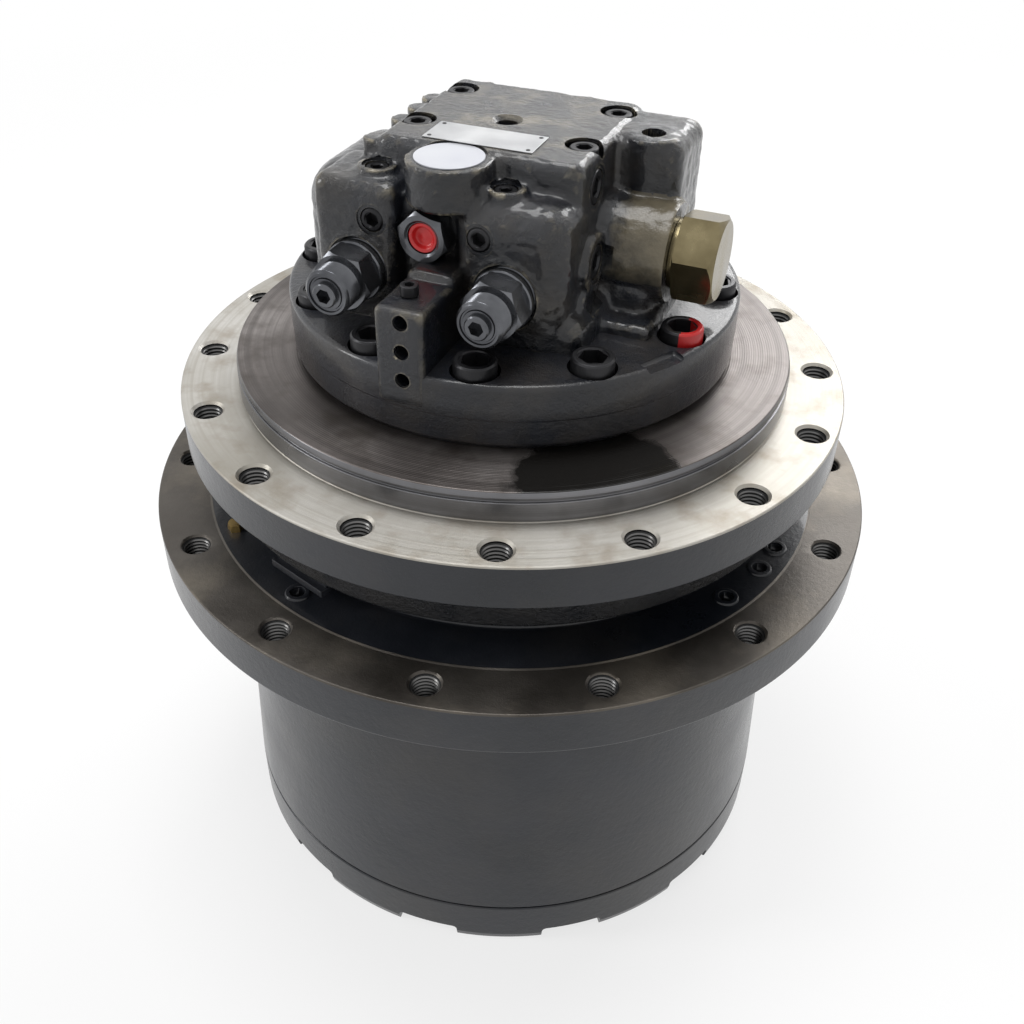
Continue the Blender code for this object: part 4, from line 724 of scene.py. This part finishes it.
# motor head
def headForms(s):
    # everything that the casting is poured from, heights above the head's underside
    z = baseZ
    spoolY, spoolZ = s["spoolY"], z + s["spoolZ"]
    forms = [
        block((-0.060, -0.062, z + 0.030), (0.060, 0.052, z + 0.1366), 0.007),
        block((-0.085, -0.088, z + 0.030), (-0.036, -0.040, z + 0.1195), 0.006),
        block((-0.003, -0.088, z + 0.030), (0.062, -0.040, z + 0.1195), 0.014, 6),
        block((-0.046, -0.0745, z + 0.030), (0.010, -0.040, z + 0.114), 0.005),
        block((-0.1045, -0.072, z + 0.030), (-0.036, 0.018, z + 0.1165), 0.022, 6),
        block((0.045, -0.006, z + 0.030), (0.097, 0.048, z + 0.1350), 0.009, 5),
        block((-0.086, -0.084, z + 0.026), (0.072, 0.064, z + 0.0585), 0.009),
        block((0.045, -0.036, z + 0.030), (0.094, 0.030, z + 0.0660), 0.007),
        block((0.045, -0.052, z + 0.030), (0.1005, 0.034, z + 0.0480), 0.004),
        rod(s["spoolBoss"], (0.045, spoolY, spoolZ), (s["spoolEnd"], spoolY, spoolZ), 64, "X"),
        rod(0.034, (0.045, spoolY, spoolZ), (0.068, spoolY, spoolZ), 64, "X", s["spoolBoss"]),
        rod(0.0236, (-0.010, -0.071, z + 0.1115), (-0.010, -0.071, z + 0.1349), 64),
        rod(0.0165, (0.050, -0.047, z + 0.080), (0.0665, -0.047, z + 0.080), 48, "X"),
        rod(0.0135, (0.050, -0.052, z + 0.056), (0.0655, -0.052, z + 0.056), 48, "X"),
    ]
    forms += [rod(0.0112, (x, y, z + 0.110), (x, y, z + 0.1236), 48) for x, y in s["padPlugs"]]
    forms.append(rod(0.0150, (0.077, 0.007, z + 0.100), (0.077, 0.007, z + 0.1356), 48))
    valveZ = z + s["valveZ"]
    forms += [rod(0.0205, (x, -0.080, valveZ), (x, -0.0888, valveZ), 56, "Y") for x in s["valveX"]]
    # round lugs on the left and back edges
    for share in (0.12, 0.40, 0.58, 0.74):
        y = -0.066 + share * 0.118
        forms.append(rod(0.0076, (-0.0625, y, z + 0.098), (-0.0625, y, z + 0.132), 32))
    for share in (0.14, 0.50, 0.68):
        x = -0.060 + share * 0.120
        forms.append(rod(0.0076, (x, 0.0545, z + 0.098), (x, 0.0545, z + 0.132), 32))
    return forms


def boltWells(s):
    # counterbores for the flange bolts
    low, high = baseZ + s["boltSeat"] - 0.0004, baseZ + 0.0622
    return ringOf(
        s["bolts"], s["boltCircle"], s["boltPhase"],
        lambda x, y, a: rod(s["boreRadius"], (x, y, low), (x, y, high), 40),
    )


def headCuts(s):
    # machined faces and bores
    z = baseZ
    cuts = boltWells(s)
    cuts.append(block((-0.2, -0.2, z + 0.136), (0.2, 0.2, z + 0.16)))
    for x in s["valveX"]:
        cuts.append(rod(0.0186, (x, -0.0848, z + s["valveZ"]), (x, -0.096, z + s["valveZ"]), 56, "Y"))
        cuts.append(rod(0.0145, (x, -0.060, z + s["valveZ"]), (x, -0.086, z + s["valveZ"]), 48, "Y"))
    x, height = s["portX"], z + s["portZ"]
    cuts.append(rod(0.0150, (x, -0.0738, height), (x, -0.085, height), 40, "Y"))
    cuts.append(rod(0.0095, (x, -0.060, height), (x, -0.075, height), 40, "Y"))
    for x, y in s["screws"]:
        cuts.append(rod(0.0106, (x, y, z + 0.1262), (x, y, z + 0.140), 40))
    # upright bores: radius, x, y, low, high, sides, radius at the top
    for radius, x, y, low, high, sides, tip in (
        (0.0064, -0.003, -0.009, 0.112, 0.140, 32, None), (0.0064, -0.003, -0.009, 0.1336, 0.1364, 32, 0.0094),
        (0.0068, 0.077, 0.007, 0.104, 0.140, 32, None), (0.0204, -0.010, -0.071, 0.1347, 0.140, 72, None),
    ):
        cuts.append(rod(radius, (x, y, z + low), (x, y, z + high), sides, tip=tip))
    for x, y in s["padPlugs"]:
        cuts.append(rod(0.0084, (x, y, z + 0.1224), (x, y, z + 0.1252), 36))
        cuts.append(rod(0.0067, (x, y, z + 0.1075), (x, y, z + 0.1236), 32))
    for x in (-0.049, 0.0135):
        cuts.append(rod(0.0088, (x, -0.0872, z + 0.0995), (x, -0.094, z + 0.0995), 36, "Y"))
        cuts.append(rod(0.0069, (x, -0.0755, z + 0.0995), (x, -0.0874, z + 0.0995), 32, "Y"))
    # bores in the right side: radius, start, end, y, height
    for radius, start, end, y, height in (
        (0.0120, 0.0658, 0.072, -0.047, 0.080), (0.0099, 0.0535, 0.0665, -0.047, 0.080),
        (0.0120, 0.0596, 0.072, -0.035, 0.117), (0.0099, 0.0543, 0.0606, -0.035, 0.117),
        (0.0088, 0.0648, 0.070, -0.052, 0.056),
    ):
        cuts.append(rod(radius, (start, y, z + height), (end, y, z + height), 36, "X"))
    # mouth of the spool's bore, and the bore on the real spool's own axis
    height = z + s["spoolZ"]
    cuts.append(rod(0.0158, (0.080, s["spoolY"], height), (0.110, s["spoolY"], height), 48, "X"))
    low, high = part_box("counterbalance_spool")
    y, height = (low.y + high.y) / 2, (low.z + high.z) / 2
    start, end = low.x - s["spoolTravel"], high.x + s["spoolTravel"]
    cuts.append(rod(s["spoolBore"], (start, y, height), (end, y, height), 48, "X"))
    cuts.append(block((s["spoolEnd"] - 0.0006, -0.045, z + 0.050), (0.110, 0.025, z + 0.115)))
    return cuts


def makeTab(s):
    # bracket at the front with three tapped holes in its face
    z = baseZ
    tab = block((-0.0242, -0.1370, z + 0.0205), (0.0042, -0.080, z + 0.0770), 0.003, 3)
    arm = block((-0.0242, -0.100, z + 0.040), (0.0042, -0.070, z + 0.0810), 0.005, 4)
    tab = merge([tab, arm])
    modify(tab, "REMESH", mode="VOXEL", voxel_size=0.0011)
    modify(tab, "SMOOTH", factor=0.5, iterations=4)
    x = s["tabX"]
    for index in range(3):
        height = z + s["tabHole"] - index * s["tabPitch"]
        carve(tab, [rod(0.0040, (x, -0.123, height), (x, -0.140, height), 28, "Y")])
        carve(tab, [rod(0.0040, (x, -0.1358, height), (x, -0.1374, height), 28, "Y", 0.0052)])
    return finishPiece(tab, "headTab", headPaint, "spindle", ["port_block"], 38)


def makeHead(s):
    cast = merge(headForms(s))
    modify(cast, "REMESH", mode="VOXEL", voxel_size=s["voxel"])
    modify(cast, "SMOOTH", factor=0.5, iterations=s["smoothSteps"])
    sand = bpy.data.textures.new("mouldSand", "CLOUDS")
    sand.noise_scale = s["sandSize"]
    sand.noise_depth = 3
    modify(cast, "DISPLACE", texture=sand, strength=s["sandDepth"], mid_level=0.6, texture_coords="LOCAL")
    print("head casting has", len(cast.data.polygons), "faces before the cuts")
    z = baseZ
    # the cast stops where the base disc begins
    carve(cast, [block((-0.2, -0.2, z - 0.05), (0.2, 0.2, z + 0.0405))])
    makeTab(s)
    for cutter in headCuts(s):
        carve(cast, [cutter])
    finishPiece(cast, "headCasting", headPaint, "spindle", ["port_block"], 38)
    fromSpool = lambda c: math.hypot(c.y - s["spoolY"], c.z - z - s["spoolZ"])
    bossRim = s["spoolBoss"] + 0.002
    # only the upper half of the boss takes the worn gold; the dark head paint left on the lower half is painted
    # shade
    onBoss = lambda c: c.x > 0.0665 and 0.014 < fromSpool(c) < bossRim and c.z > z + 0.0665
    coat(cast, lambda c, n: onBoss(c), bossWearAndShade)
    corners = [
        (0.0165, z, 0), (s["baseRadius"] - 0.0055, z, 0.001), (s["baseRadius"] - 0.0005, z + 0.005, 0.003),
        (s["baseRadius"] - 0.0005, z + 0.0195, 0.0006), (s["baseRadius"], z + 0.0205, 0.0004),
        (s["baseRadius"], z + s["baseHigh"] - 0.001, 0.0035), (0.0165, z + s["baseHigh"], 0),
    ]
    disc = lathe(softCorners(corners), 176)
    grips = ringOf(
        s["bolts"], s["boltCircle"], s["boltPhase"],
        lambda x, y, a: rod(s["boltHole"], (x, y, z - 0.002), (x, y, z + 0.033), 24),
    )
    carve(disc, boltWells(s))
    carve(disc, grips)
    x, low = s["tabX"], z + s["tabHole"] - 2 * s["tabPitch"]
    carve(disc, [rod(0.0042, (x, -0.123, low), (x, -0.140, low), 28, "Y")])
    # low flat in the rim beside the marked bolt
    flat = block((0.1275, -0.013, z + 0.0385), (0.150, 0.013, z + 0.050), 0.002, 3)
    carve(disc, [put(flat, (0, 0, 0), (0, 0, math.radians(-31)))])
    finishPiece(disc, "headBase", basePaint, "spindle", ["port_block"])
    print("head casting done")


makeHead(headShape)


# screws
screwShape = {
    "flange": {"head": 0.012, "rise": 0.016, "socket": 0.014, "deep": 0.008, "shank": 0.008, "grip": 0.040},
    "top": {"head": 0.008, "rise": 0.008, "socket": 0.008, "deep": 0.0048, "shank": 0.005, "grip": 0.016},
    "tab": {"head": 0.005, "rise": 0.006, "socket": 0.005, "deep": 0.003, "shank": 0.003, "grip": 0.010},
}


def capScrew(s):
    # head seat at height 0, knurled all round, with a hexagon socket
    rim = s["head"] * 0.09
    head = lathe(softCorners([
        (0, s["rise"], 0), (s["head"] - rim, s["rise"], rim * 0.5), (s["head"], s["rise"] - rim, rim * 0.4),
        (s["head"], 0.0004, 0), (s["head"] - 0.0004, 0, 0), (s["shank"], 0, 0), (s["shank"], -s["grip"], 0),
        (0, -s["grip"], 0),
    ], 2), 96, closed=False)
    # every second column of the rim goes in, for the knurl
    for vertex in head.data.vertices:
        reach = math.hypot(vertex.co.x, vertex.co.y)
        if reach > s["head"] * 0.985 and rim < vertex.co.z < s["rise"] - rim * 0.6:
            if round(math.atan2(vertex.co.y, vertex.co.x) / math.tau * 96) % 2:
                vertex.co.x *= 0.972
                vertex.co.y *= 0.972
    socket = prism(s["socket"], s["rise"] - s["deep"], s["rise"] + 0.001, 0.3)
    low, high = s["rise"] - s["socket"] * 0.05, s["rise"] + 0.0006
    mouth = rod(s["socket"] * 0.60, (0, 0, low), (0, 0, high), 40, tip=s["socket"] * 0.66)
    carve(head, [socket])
    return carve(head, [mouth])


def finishScrew(piece, name, node):
    finishPiece(piece, name, blackOxide, "spindle", [node])


def makeScrews(shapes):
    z = baseZ
    bolt = capScrew(shapes["flange"])
    count, circle = headShape["bolts"], headShape["boltCircle"]
    for index in range(count):
        a = headShape["boltPhase"] + index * math.tau / count
        spot = Matrix.Translation((*onCircle(circle, a), z + headShape["boltSeat"]))
        piece = twin(bolt, spot @ Matrix.Rotation(index * 0.7, 4, "Z"))
        finishScrew(piece, f"flangeBolt_{index + 1:02d}", f"flange_bolt_{index + 1:02d}")
    # the last one carries a dab of red paint
    coat(piece, lambda c, n: c.x > 0.1165 and c.z > z + 0.036, redPaint)
    bpy.data.objects.remove(bolt)
    small = capScrew(shapes["top"])
    for index, (x, y) in enumerate(headShape["screws"]):
        spot = Matrix.Translation((x, y, z + headShape["screwSeat"]))
        piece = twin(small, spot @ Matrix.Rotation(index * 0.9, 4, "Z"))
        finishScrew(piece, f"blockScrew_{index + 1}", f"block_screw_{index + 1}")
    bpy.data.objects.remove(small)
    # the tab's screw is centred on its solid
    tab = capScrew(shapes["tab"])
    low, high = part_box("tab_screw")
    heights = [vertex.co.z for vertex in tab.data.vertices]
    middle = (low + high) / 2
    put(tab, (middle.x, middle.y, middle.z - (min(heights) + max(heights)) / 2))
    finishScrew(tab, "tabScrew", "tab_screw")
    print("screws done")


makeScrews(screwShape)


# socket plugs
def socketPlug(radius, length, socket):
    # flush plug along Z with its outer face at height 0
    plug = lathe(softCorners([
        (0, 0, 0), (radius - 0.0008, 0, 0.0003), (radius, -0.0009, 0.0003), (radius, -length, 0),
        (0, -length, 0),
    ], 2), 48, closed=False)
    carve(plug, [prism(socket, -length * 0.55, 0.002, 0.2)])
    return carve(plug, [rod(socket * 0.55, (0, 0, -socket * 0.12), (0, 0, 0.0006), 36, tip=socket * 0.68)])


def makePlugs():
    sides = {"front": (math.pi / 2, 0, 0), "up": (0, 0, 0), "right": (0, math.pi / 2, 0)}
    rows = [
        ("gauge_plug_left", "gaugePlugLeft", "front", 0.0065, 0.007),
        ("gauge_plug_right", "gaugePlugRight", "front", 0.0065, 0.007),
        ("shoulder_plug_left", "shoulderPlugLeft", "up", 0.0065, 0.006),
        ("shoulder_plug_right", "shoulderPlugRight", "up", 0.0065, 0.006),
        ("side_plug_lower", "sidePlugLower", "right", 0.0095, 0.010),
        ("side_plug_upper", "sidePlugUpper", "right", 0.0095, 0.010),
    ]
    for node, name, side, radius, socket in rows:
        low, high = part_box(node)
        middle = (low + high) / 2
        size = high - low
        if side == "front":
            length, face = size.y, Vector((middle.x, low.y, middle.z))
        elif side == "right":
            length, face = size.x, Vector((high.x, middle.y, middle.z))
        else:
            # the shoulder pads stand where the photograph has them
            x, y = headShape["padPlugs"][node.endswith("right")]
            length, face = size.z, Vector((x, y, baseZ + 0.1220))
        plug = put(socketPlug(radius, length, socket), face, sides[side])
        finishPiece(plug, name, blackOxide, "spindle", [node])
    extra = put(socketPlug(0.0066, 0.006, 0.006), (0.0642, -0.052, baseZ + 0.056), sides["right"])
    finishPiece(extra, "sidePlugSmall", blackOxide, "spindle", ())
    print("plugs done")


makePlugs()


# relief valves
valveShape = {
    "collar": 0.0175, "collarLong": 0.008, "flats": 0.031, "hexLong": 0.015, "cap": 0.0132, "capLong": 0.015,
    "pitch": 0.0016, "seat": -0.0853,
}


def turnedHexagon(flats, low, high, turn, profile, steps):
    # hexagon bar with its corners turned off by a lathed shell
    return carve(prism(flats, low, high, turn), [lathe(profile, steps, closed=False)], "INTERSECT")


def makeValve(s, name, node, x):
    # heights along the cartridge: foot, end of the hexagon, end of the cap
    a, b = s["collarLong"], s["collarLong"] + s["hexLong"]
    c = b + s["capLong"]
    rim, cap = s["collar"], s["cap"]
    profile = [
        (0, c + 0.003), (0.0062, c + 0.003), (0.0069, c + 0.0023), (0.0069, c), (0.0088, c),
        (0.0092, c - 0.0009), (0.0101, c - 0.0009), (0.0105, c), (cap - 0.0014, c), (cap - 0.0002, c - 0.0012),
    ]
    height = c - s["pitch"]
    while height > b + 0.0012:
        profile += [(cap, height), (cap - 0.0009, height - s["pitch"] / 2)]
        height -= s["pitch"]
    profile += [(cap - 0.0010, b + 0.0008), (cap - 0.0010, b - 0.002), (0.0, b - 0.002)]
    top = lathe(profile, 72, closed=False)
    carve(top, [prism(0.0075, c - 0.003, c + 0.005, 0.4)])
    corner = cornerOf(s["flats"])
    nut = turnedHexagon(s["flats"], a, b, 0.35, [
        (0, a - 0.001), (corner - 0.0014, a - 0.001), (corner + 0.0004, a + 0.0012),
        (corner + 0.0004, b - 0.0018), (s["flats"] / 2 - 0.0004, b + 0.0004), (0, b + 0.0004),
    ], 72)
    collar = lathe(softCorners([
        (0, a + 0.0002, 0), (rim - 0.0007, a + 0.0002, 0.0003), (rim, a - 0.0006, 0.0002),
        (rim, 0.0034, 0.0002), (rim - 0.0009, 0.0026, 0), (rim - 0.0009, 0.0016, 0), (rim, 0.0010, 0),
        (rim, 0, 0), (0.0137, 0, 0),
        (0.0137, -0.027, 0), (0, -0.027, 0),
    ], 2), 72, closed=False)
    valve = merge([collar, nut, top])
    put(valve, (x, s["seat"], baseZ + headShape["valveZ"]), (math.pi / 2, 0, 0))
    finishPiece(valve, name, valveSteel, "spindle", [node], 28)


makeValve(valveShape, "reliefValveLeft", "relief_valve_left", headShape["valveX"][0])
makeValve(valveShape, "reliefValveRight", "relief_valve_right", headShape["valveX"][1])
print("relief valves done")


# port fitting with its transport plug
portShape = {"flats": 0.0262, "long": 0.0135, "bore": 0.0088, "seat": -0.0741}


def makePort(s):
    nut = turnedHexagon(s["flats"], 0.0, s["long"], 0.25, [
        (0, -0.001), (0.0144, -0.001), (0.0156, 0.0008), (0.0156, 0.0116), (0.0127, 0.0138), (0, 0.0138),
    ], 60)
    shank = lathe([(0, 0.001), (0.0092, 0.001), (0.0092, -0.011), (0, -0.011)], 40, closed=False)
    fitting = carve(merge([nut, shank]), [rod(s["bore"], (0, 0, 0.001), (0, 0, 0.016), 56)])
    carve(fitting, [rod(0.0090, (0, 0, 0.0124), (0, 0, 0.0141), 56, tip=0.0109)])
    plug = lathe(softCorners([
        (0, 0.0098, 0), (0.0022, 0.0094, 0.0008), (0.0052, 0.0090, 0.0010), (0.0062, 0.0118, 0.0008),
        (0.0084, 0.0122, 0.0008), (0.0086, 0.0013, 0), (0, 0.0013, 0),
    ], 3), 56, closed=False)
    for piece in (fitting, plug):
        put(piece, (headShape["portX"], s["seat"], baseZ + headShape["portZ"]), (math.pi / 2, 0, 0))
    finishPiece(fitting, "portFitting", valveSteel, "spindle", ["port_fitting"], 28)
    finishPiece(plug, "transportPlug", redPlastic, "spindle", ["port_plug"])
    print("port done")


makePort(portShape)


# counterbalance plug
hexShape = {"flats": 0.0455, "start": 0.0030, "end": 0.0262, "turn": math.radians(-12.5)}


def makeHexPlug(s):
    low, high = s["start"], s["end"]
    corner = cornerOf(s["flats"])
    nut = turnedHexagon(s["flats"], low, high, s["turn"], [
        (0, low - 0.001), (corner - 0.003, low - 0.001), (corner + 0.0004, low + 0.0012),
        (corner + 0.0004, high - 0.0036), (s["flats"] / 2 - 0.0012, high + 0.0003), (0, high + 0.0003),
    ], 96)
    collar = lathe(softCorners([
        (0, 0.0034, 0), (0.0198, 0.0034, 0), (0.0198, -0.0005, 0.0004), (0.0152, -0.0005, 0),
        (0.0152, -0.016, 0), (0, -0.016, 0),
    ], 2), 72, closed=False)
    place = (headShape["spoolEnd"], headShape["spoolY"], baseZ + headShape["spoolZ"])
    plug = put(merge([nut, collar]), place, (0, math.pi / 2, 0))
    finishPiece(plug, "counterbalancePlug", olivePlate, "spindle", ["counterbalance_plug"], 28)
    print("hexagon plug done")


makeHexPlug(hexShape)


# nameplate and round sticker
plateShape = {
    "size": (0.0630, 0.0256), "rivetX": 0.0283, "rivetY": 0.0100, "place": (-0.0028, -0.0405),
    "turn": math.radians(0.8), "sticker": 0.0188, "stickerPlace": (-0.010, -0.071), "stickerHigh": 0.1349,
}


def makePlates(s):
    wide, deep = s["size"][0] / 2, s["size"][1] / 2
    plate = block((-wide, -deep, 0.0001), (wide, deep, 0.0007), 0.0002, 1)
    rivets = []
    for x in (-s["rivetX"], s["rivetX"]):
        for y in (-s["rivetY"], s["rivetY"]):
            pin = lathe([(0, 0.0010), (0.0010, 0.00095), (0.0015, 0.0005), (0, 0.0005)], 16, False)
            rivets.append(put(pin, (x, y, 0)))
    pins = merge(rivets)
    for piece in (plate, pins):
        put(piece, (*s["place"], topZ), (0, 0, s["turn"]))
    finishPiece(plate, "nameplateBlank", bareAluminium, "spindle", ["nameplate"])
    finishPiece(pins, "plateRivets", blackOxide, "spindle")
    sticker = lathe(softCorners([
        (0, 0.0004, 0), (s["sticker"], 0.0004, 0.0001), (s["sticker"], -0.0002, 0), (0, -0.0002, 0),
    ], 2), 72, closed=False)
    put(sticker, (*s["stickerPlace"], baseZ + s["stickerHigh"]))
    finishPiece(sticker, "roundSticker", whiteFilm, "spindle")
    print("plates done")


makePlates(plateShape)


# sealed inner pieces keep their solids
inside = (
    (innerSteel, (
        "bearing_cone_lower", "bearing_cone_upper", "bearing_cup_lower", "bearing_cup_upper", "seal_ring_lower",
        "seal_ring_upper", "carrier_1", "carrier_2", "sun_gear_1", "sun_gear_2", "planet_1_1", "planet_1_2",
        "planet_1_3", "planet_2_1", "planet_2_2", "planet_2_3", "motor_shaft", "cylinder_block", "piston_set",
        "swash_plate", "brake_piston", "brake_spring", "counterbalance_spool",
    )),
    (innerBronze, ("valve_plate",)), (innerLining, ("brake_disc",)), (blackOxide, ("drain_plug",)),
)
for material, nodes in inside:
    for node in nodes:
        slots = frame["nodes"][node].data.materials
        for index in range(len(slots)):
            slots[index] = material
print("inner pieces coloured")


# floor, lights and camera
studio = {
    "floorRadius": 7.0, "floorTone": 0.87, "floorRough": 0.75, "worldLight": 0.45,
    "glowNear": 0.74, "glowFrom": 0.7, "glowFull": 2.2,
    "lamps": (
        ("backRight", (0.46, 2.5, 1.95), (0, 0, 0.35), 1.9, 1.0, 48),
        ("overhead", (-0.3, 0.2, 2.6), (0, 0, 0.3), 1.1, 1.1, 30),
        ("leftFront", (-2.2, -1.2, 1.3), (0, 0, 0.3), 0.5, 1.4, 24),
    ),
    "cameraPlace": (0.2391, -0.6039, 0.7198), "cameraLook": (-0.2914, 0.7399, -0.6063), "cameraRoll": -0.0217,
    "focalPixels": 1154.86, "imagePixels": 1024, "sensor": 36,
}


def seenOf(tree):
    # 1 for rays from the camera and from glossy surfaces
    light = tree.nodes.new("ShaderNodeLightPath")
    return mathOf(tree, "MAXIMUM", light.outputs["Is Camera Ray"], light.outputs["Is Glossy Ray"])


def makeFloor(s):
    clearPick()
    bpy.ops.mesh.primitive_circle_add(
        vertices=96, radius=s["floorRadius"], fill_type="NGON", location=(0, 0, -0.0002)
    )
    floor = bpy.context.active_object
    floor.name = "studioFloor"
    material, tree, shader = newMaterial("paleFloor", s["floorRough"], 0.0)
    dull, bright = (s["floorTone"] - 0.01,) * 3, (s["floorTone"] + 0.01,) * 3
    tone = rampOf(tree, noiseOf(tree, 3, 2), [(0.3, dull), (0.7, bright)])
    tree.links.new(tone, shader.inputs["Base Color"])
    glow = tree.nodes.new("ShaderNodeEmission")
    glow.inputs["Color"].default_value = (1, 1, 1, 1)
    mix = tree.nodes.new("ShaderNodeMixShader")
    # all glow far from the object, so that no edge shows
    share = rangeOf(tree, radiusOf(tree), s["glowFrom"], s["glowFull"], s["glowNear"], 1.0)
    tree.links.new(mathOf(tree, "MULTIPLY", seenOf(tree), share), mix.inputs["Fac"])
    tree.links.new(shader.outputs["BSDF"], mix.inputs[1])
    tree.links.new(glow.outputs["Emission"], mix.inputs[2])
    tree.links.new(mix.outputs["Shader"], tree.nodes["Material Output"].inputs["Surface"])
    floor.data.materials.append(material)


def softBox(name, place, aim, width, height, power):
    lamp = bpy.data.lights.new(name, "AREA")
    lamp.shape = "RECTANGLE"
    lamp.size = width
    lamp.size_y = height
    lamp.energy = power
    stand = bpy.data.objects.new(name, lamp)
    bpy.context.scene.collection.objects.link(stand)
    stand.location = place
    stand.rotation_euler = (Vector(aim) - Vector(place)).to_track_quat("-Z", "Y").to_euler()


def makeLights(s):
    world = bpy.data.worlds.new("studioWorld")
    bpy.context.scene.world = world
    world.use_nodes = True
    tree = world.node_tree
    ground = tree.nodes["Background"]
    strength = rangeOf(tree, seenOf(tree), 0, 1, s["worldLight"], 1.0)
    tree.links.new(strength, ground.inputs["Strength"])
    ground.inputs["Color"].default_value = (1, 1, 1, 1)
    for lamp in s["lamps"]:
        softBox(*lamp)


def makeCamera(s):
    look = Vector(s["cameraLook"]).normalized()
    right = look.cross(Vector((0, 0, 1))).normalized()
    up = right.cross(look)
    roll = s["cameraRoll"]
    levelRight = right * math.cos(roll) - up * math.sin(roll)
    levelUp = right * math.sin(roll) + up * math.cos(roll)
    matrix = Matrix((levelRight, levelUp, -look)).transposed().to_4x4()
    matrix.translation = s["cameraPlace"]
    camera = bpy.data.cameras.new("photoCamera")
    camera.sensor_width = s["sensor"]
    camera.lens = s["focalPixels"] / s["imagePixels"] * s["sensor"]
    holder = bpy.data.objects.new("photoCamera", camera)
    bpy.context.scene.collection.objects.link(holder)
    holder.matrix_world = matrix
    bpy.context.scene.camera = holder


makeFloor(studio)
makeLights(studio)
makeCamera(studio)
bpy.context.scene.view_settings.view_transform = "Standard"
print("studio ready")
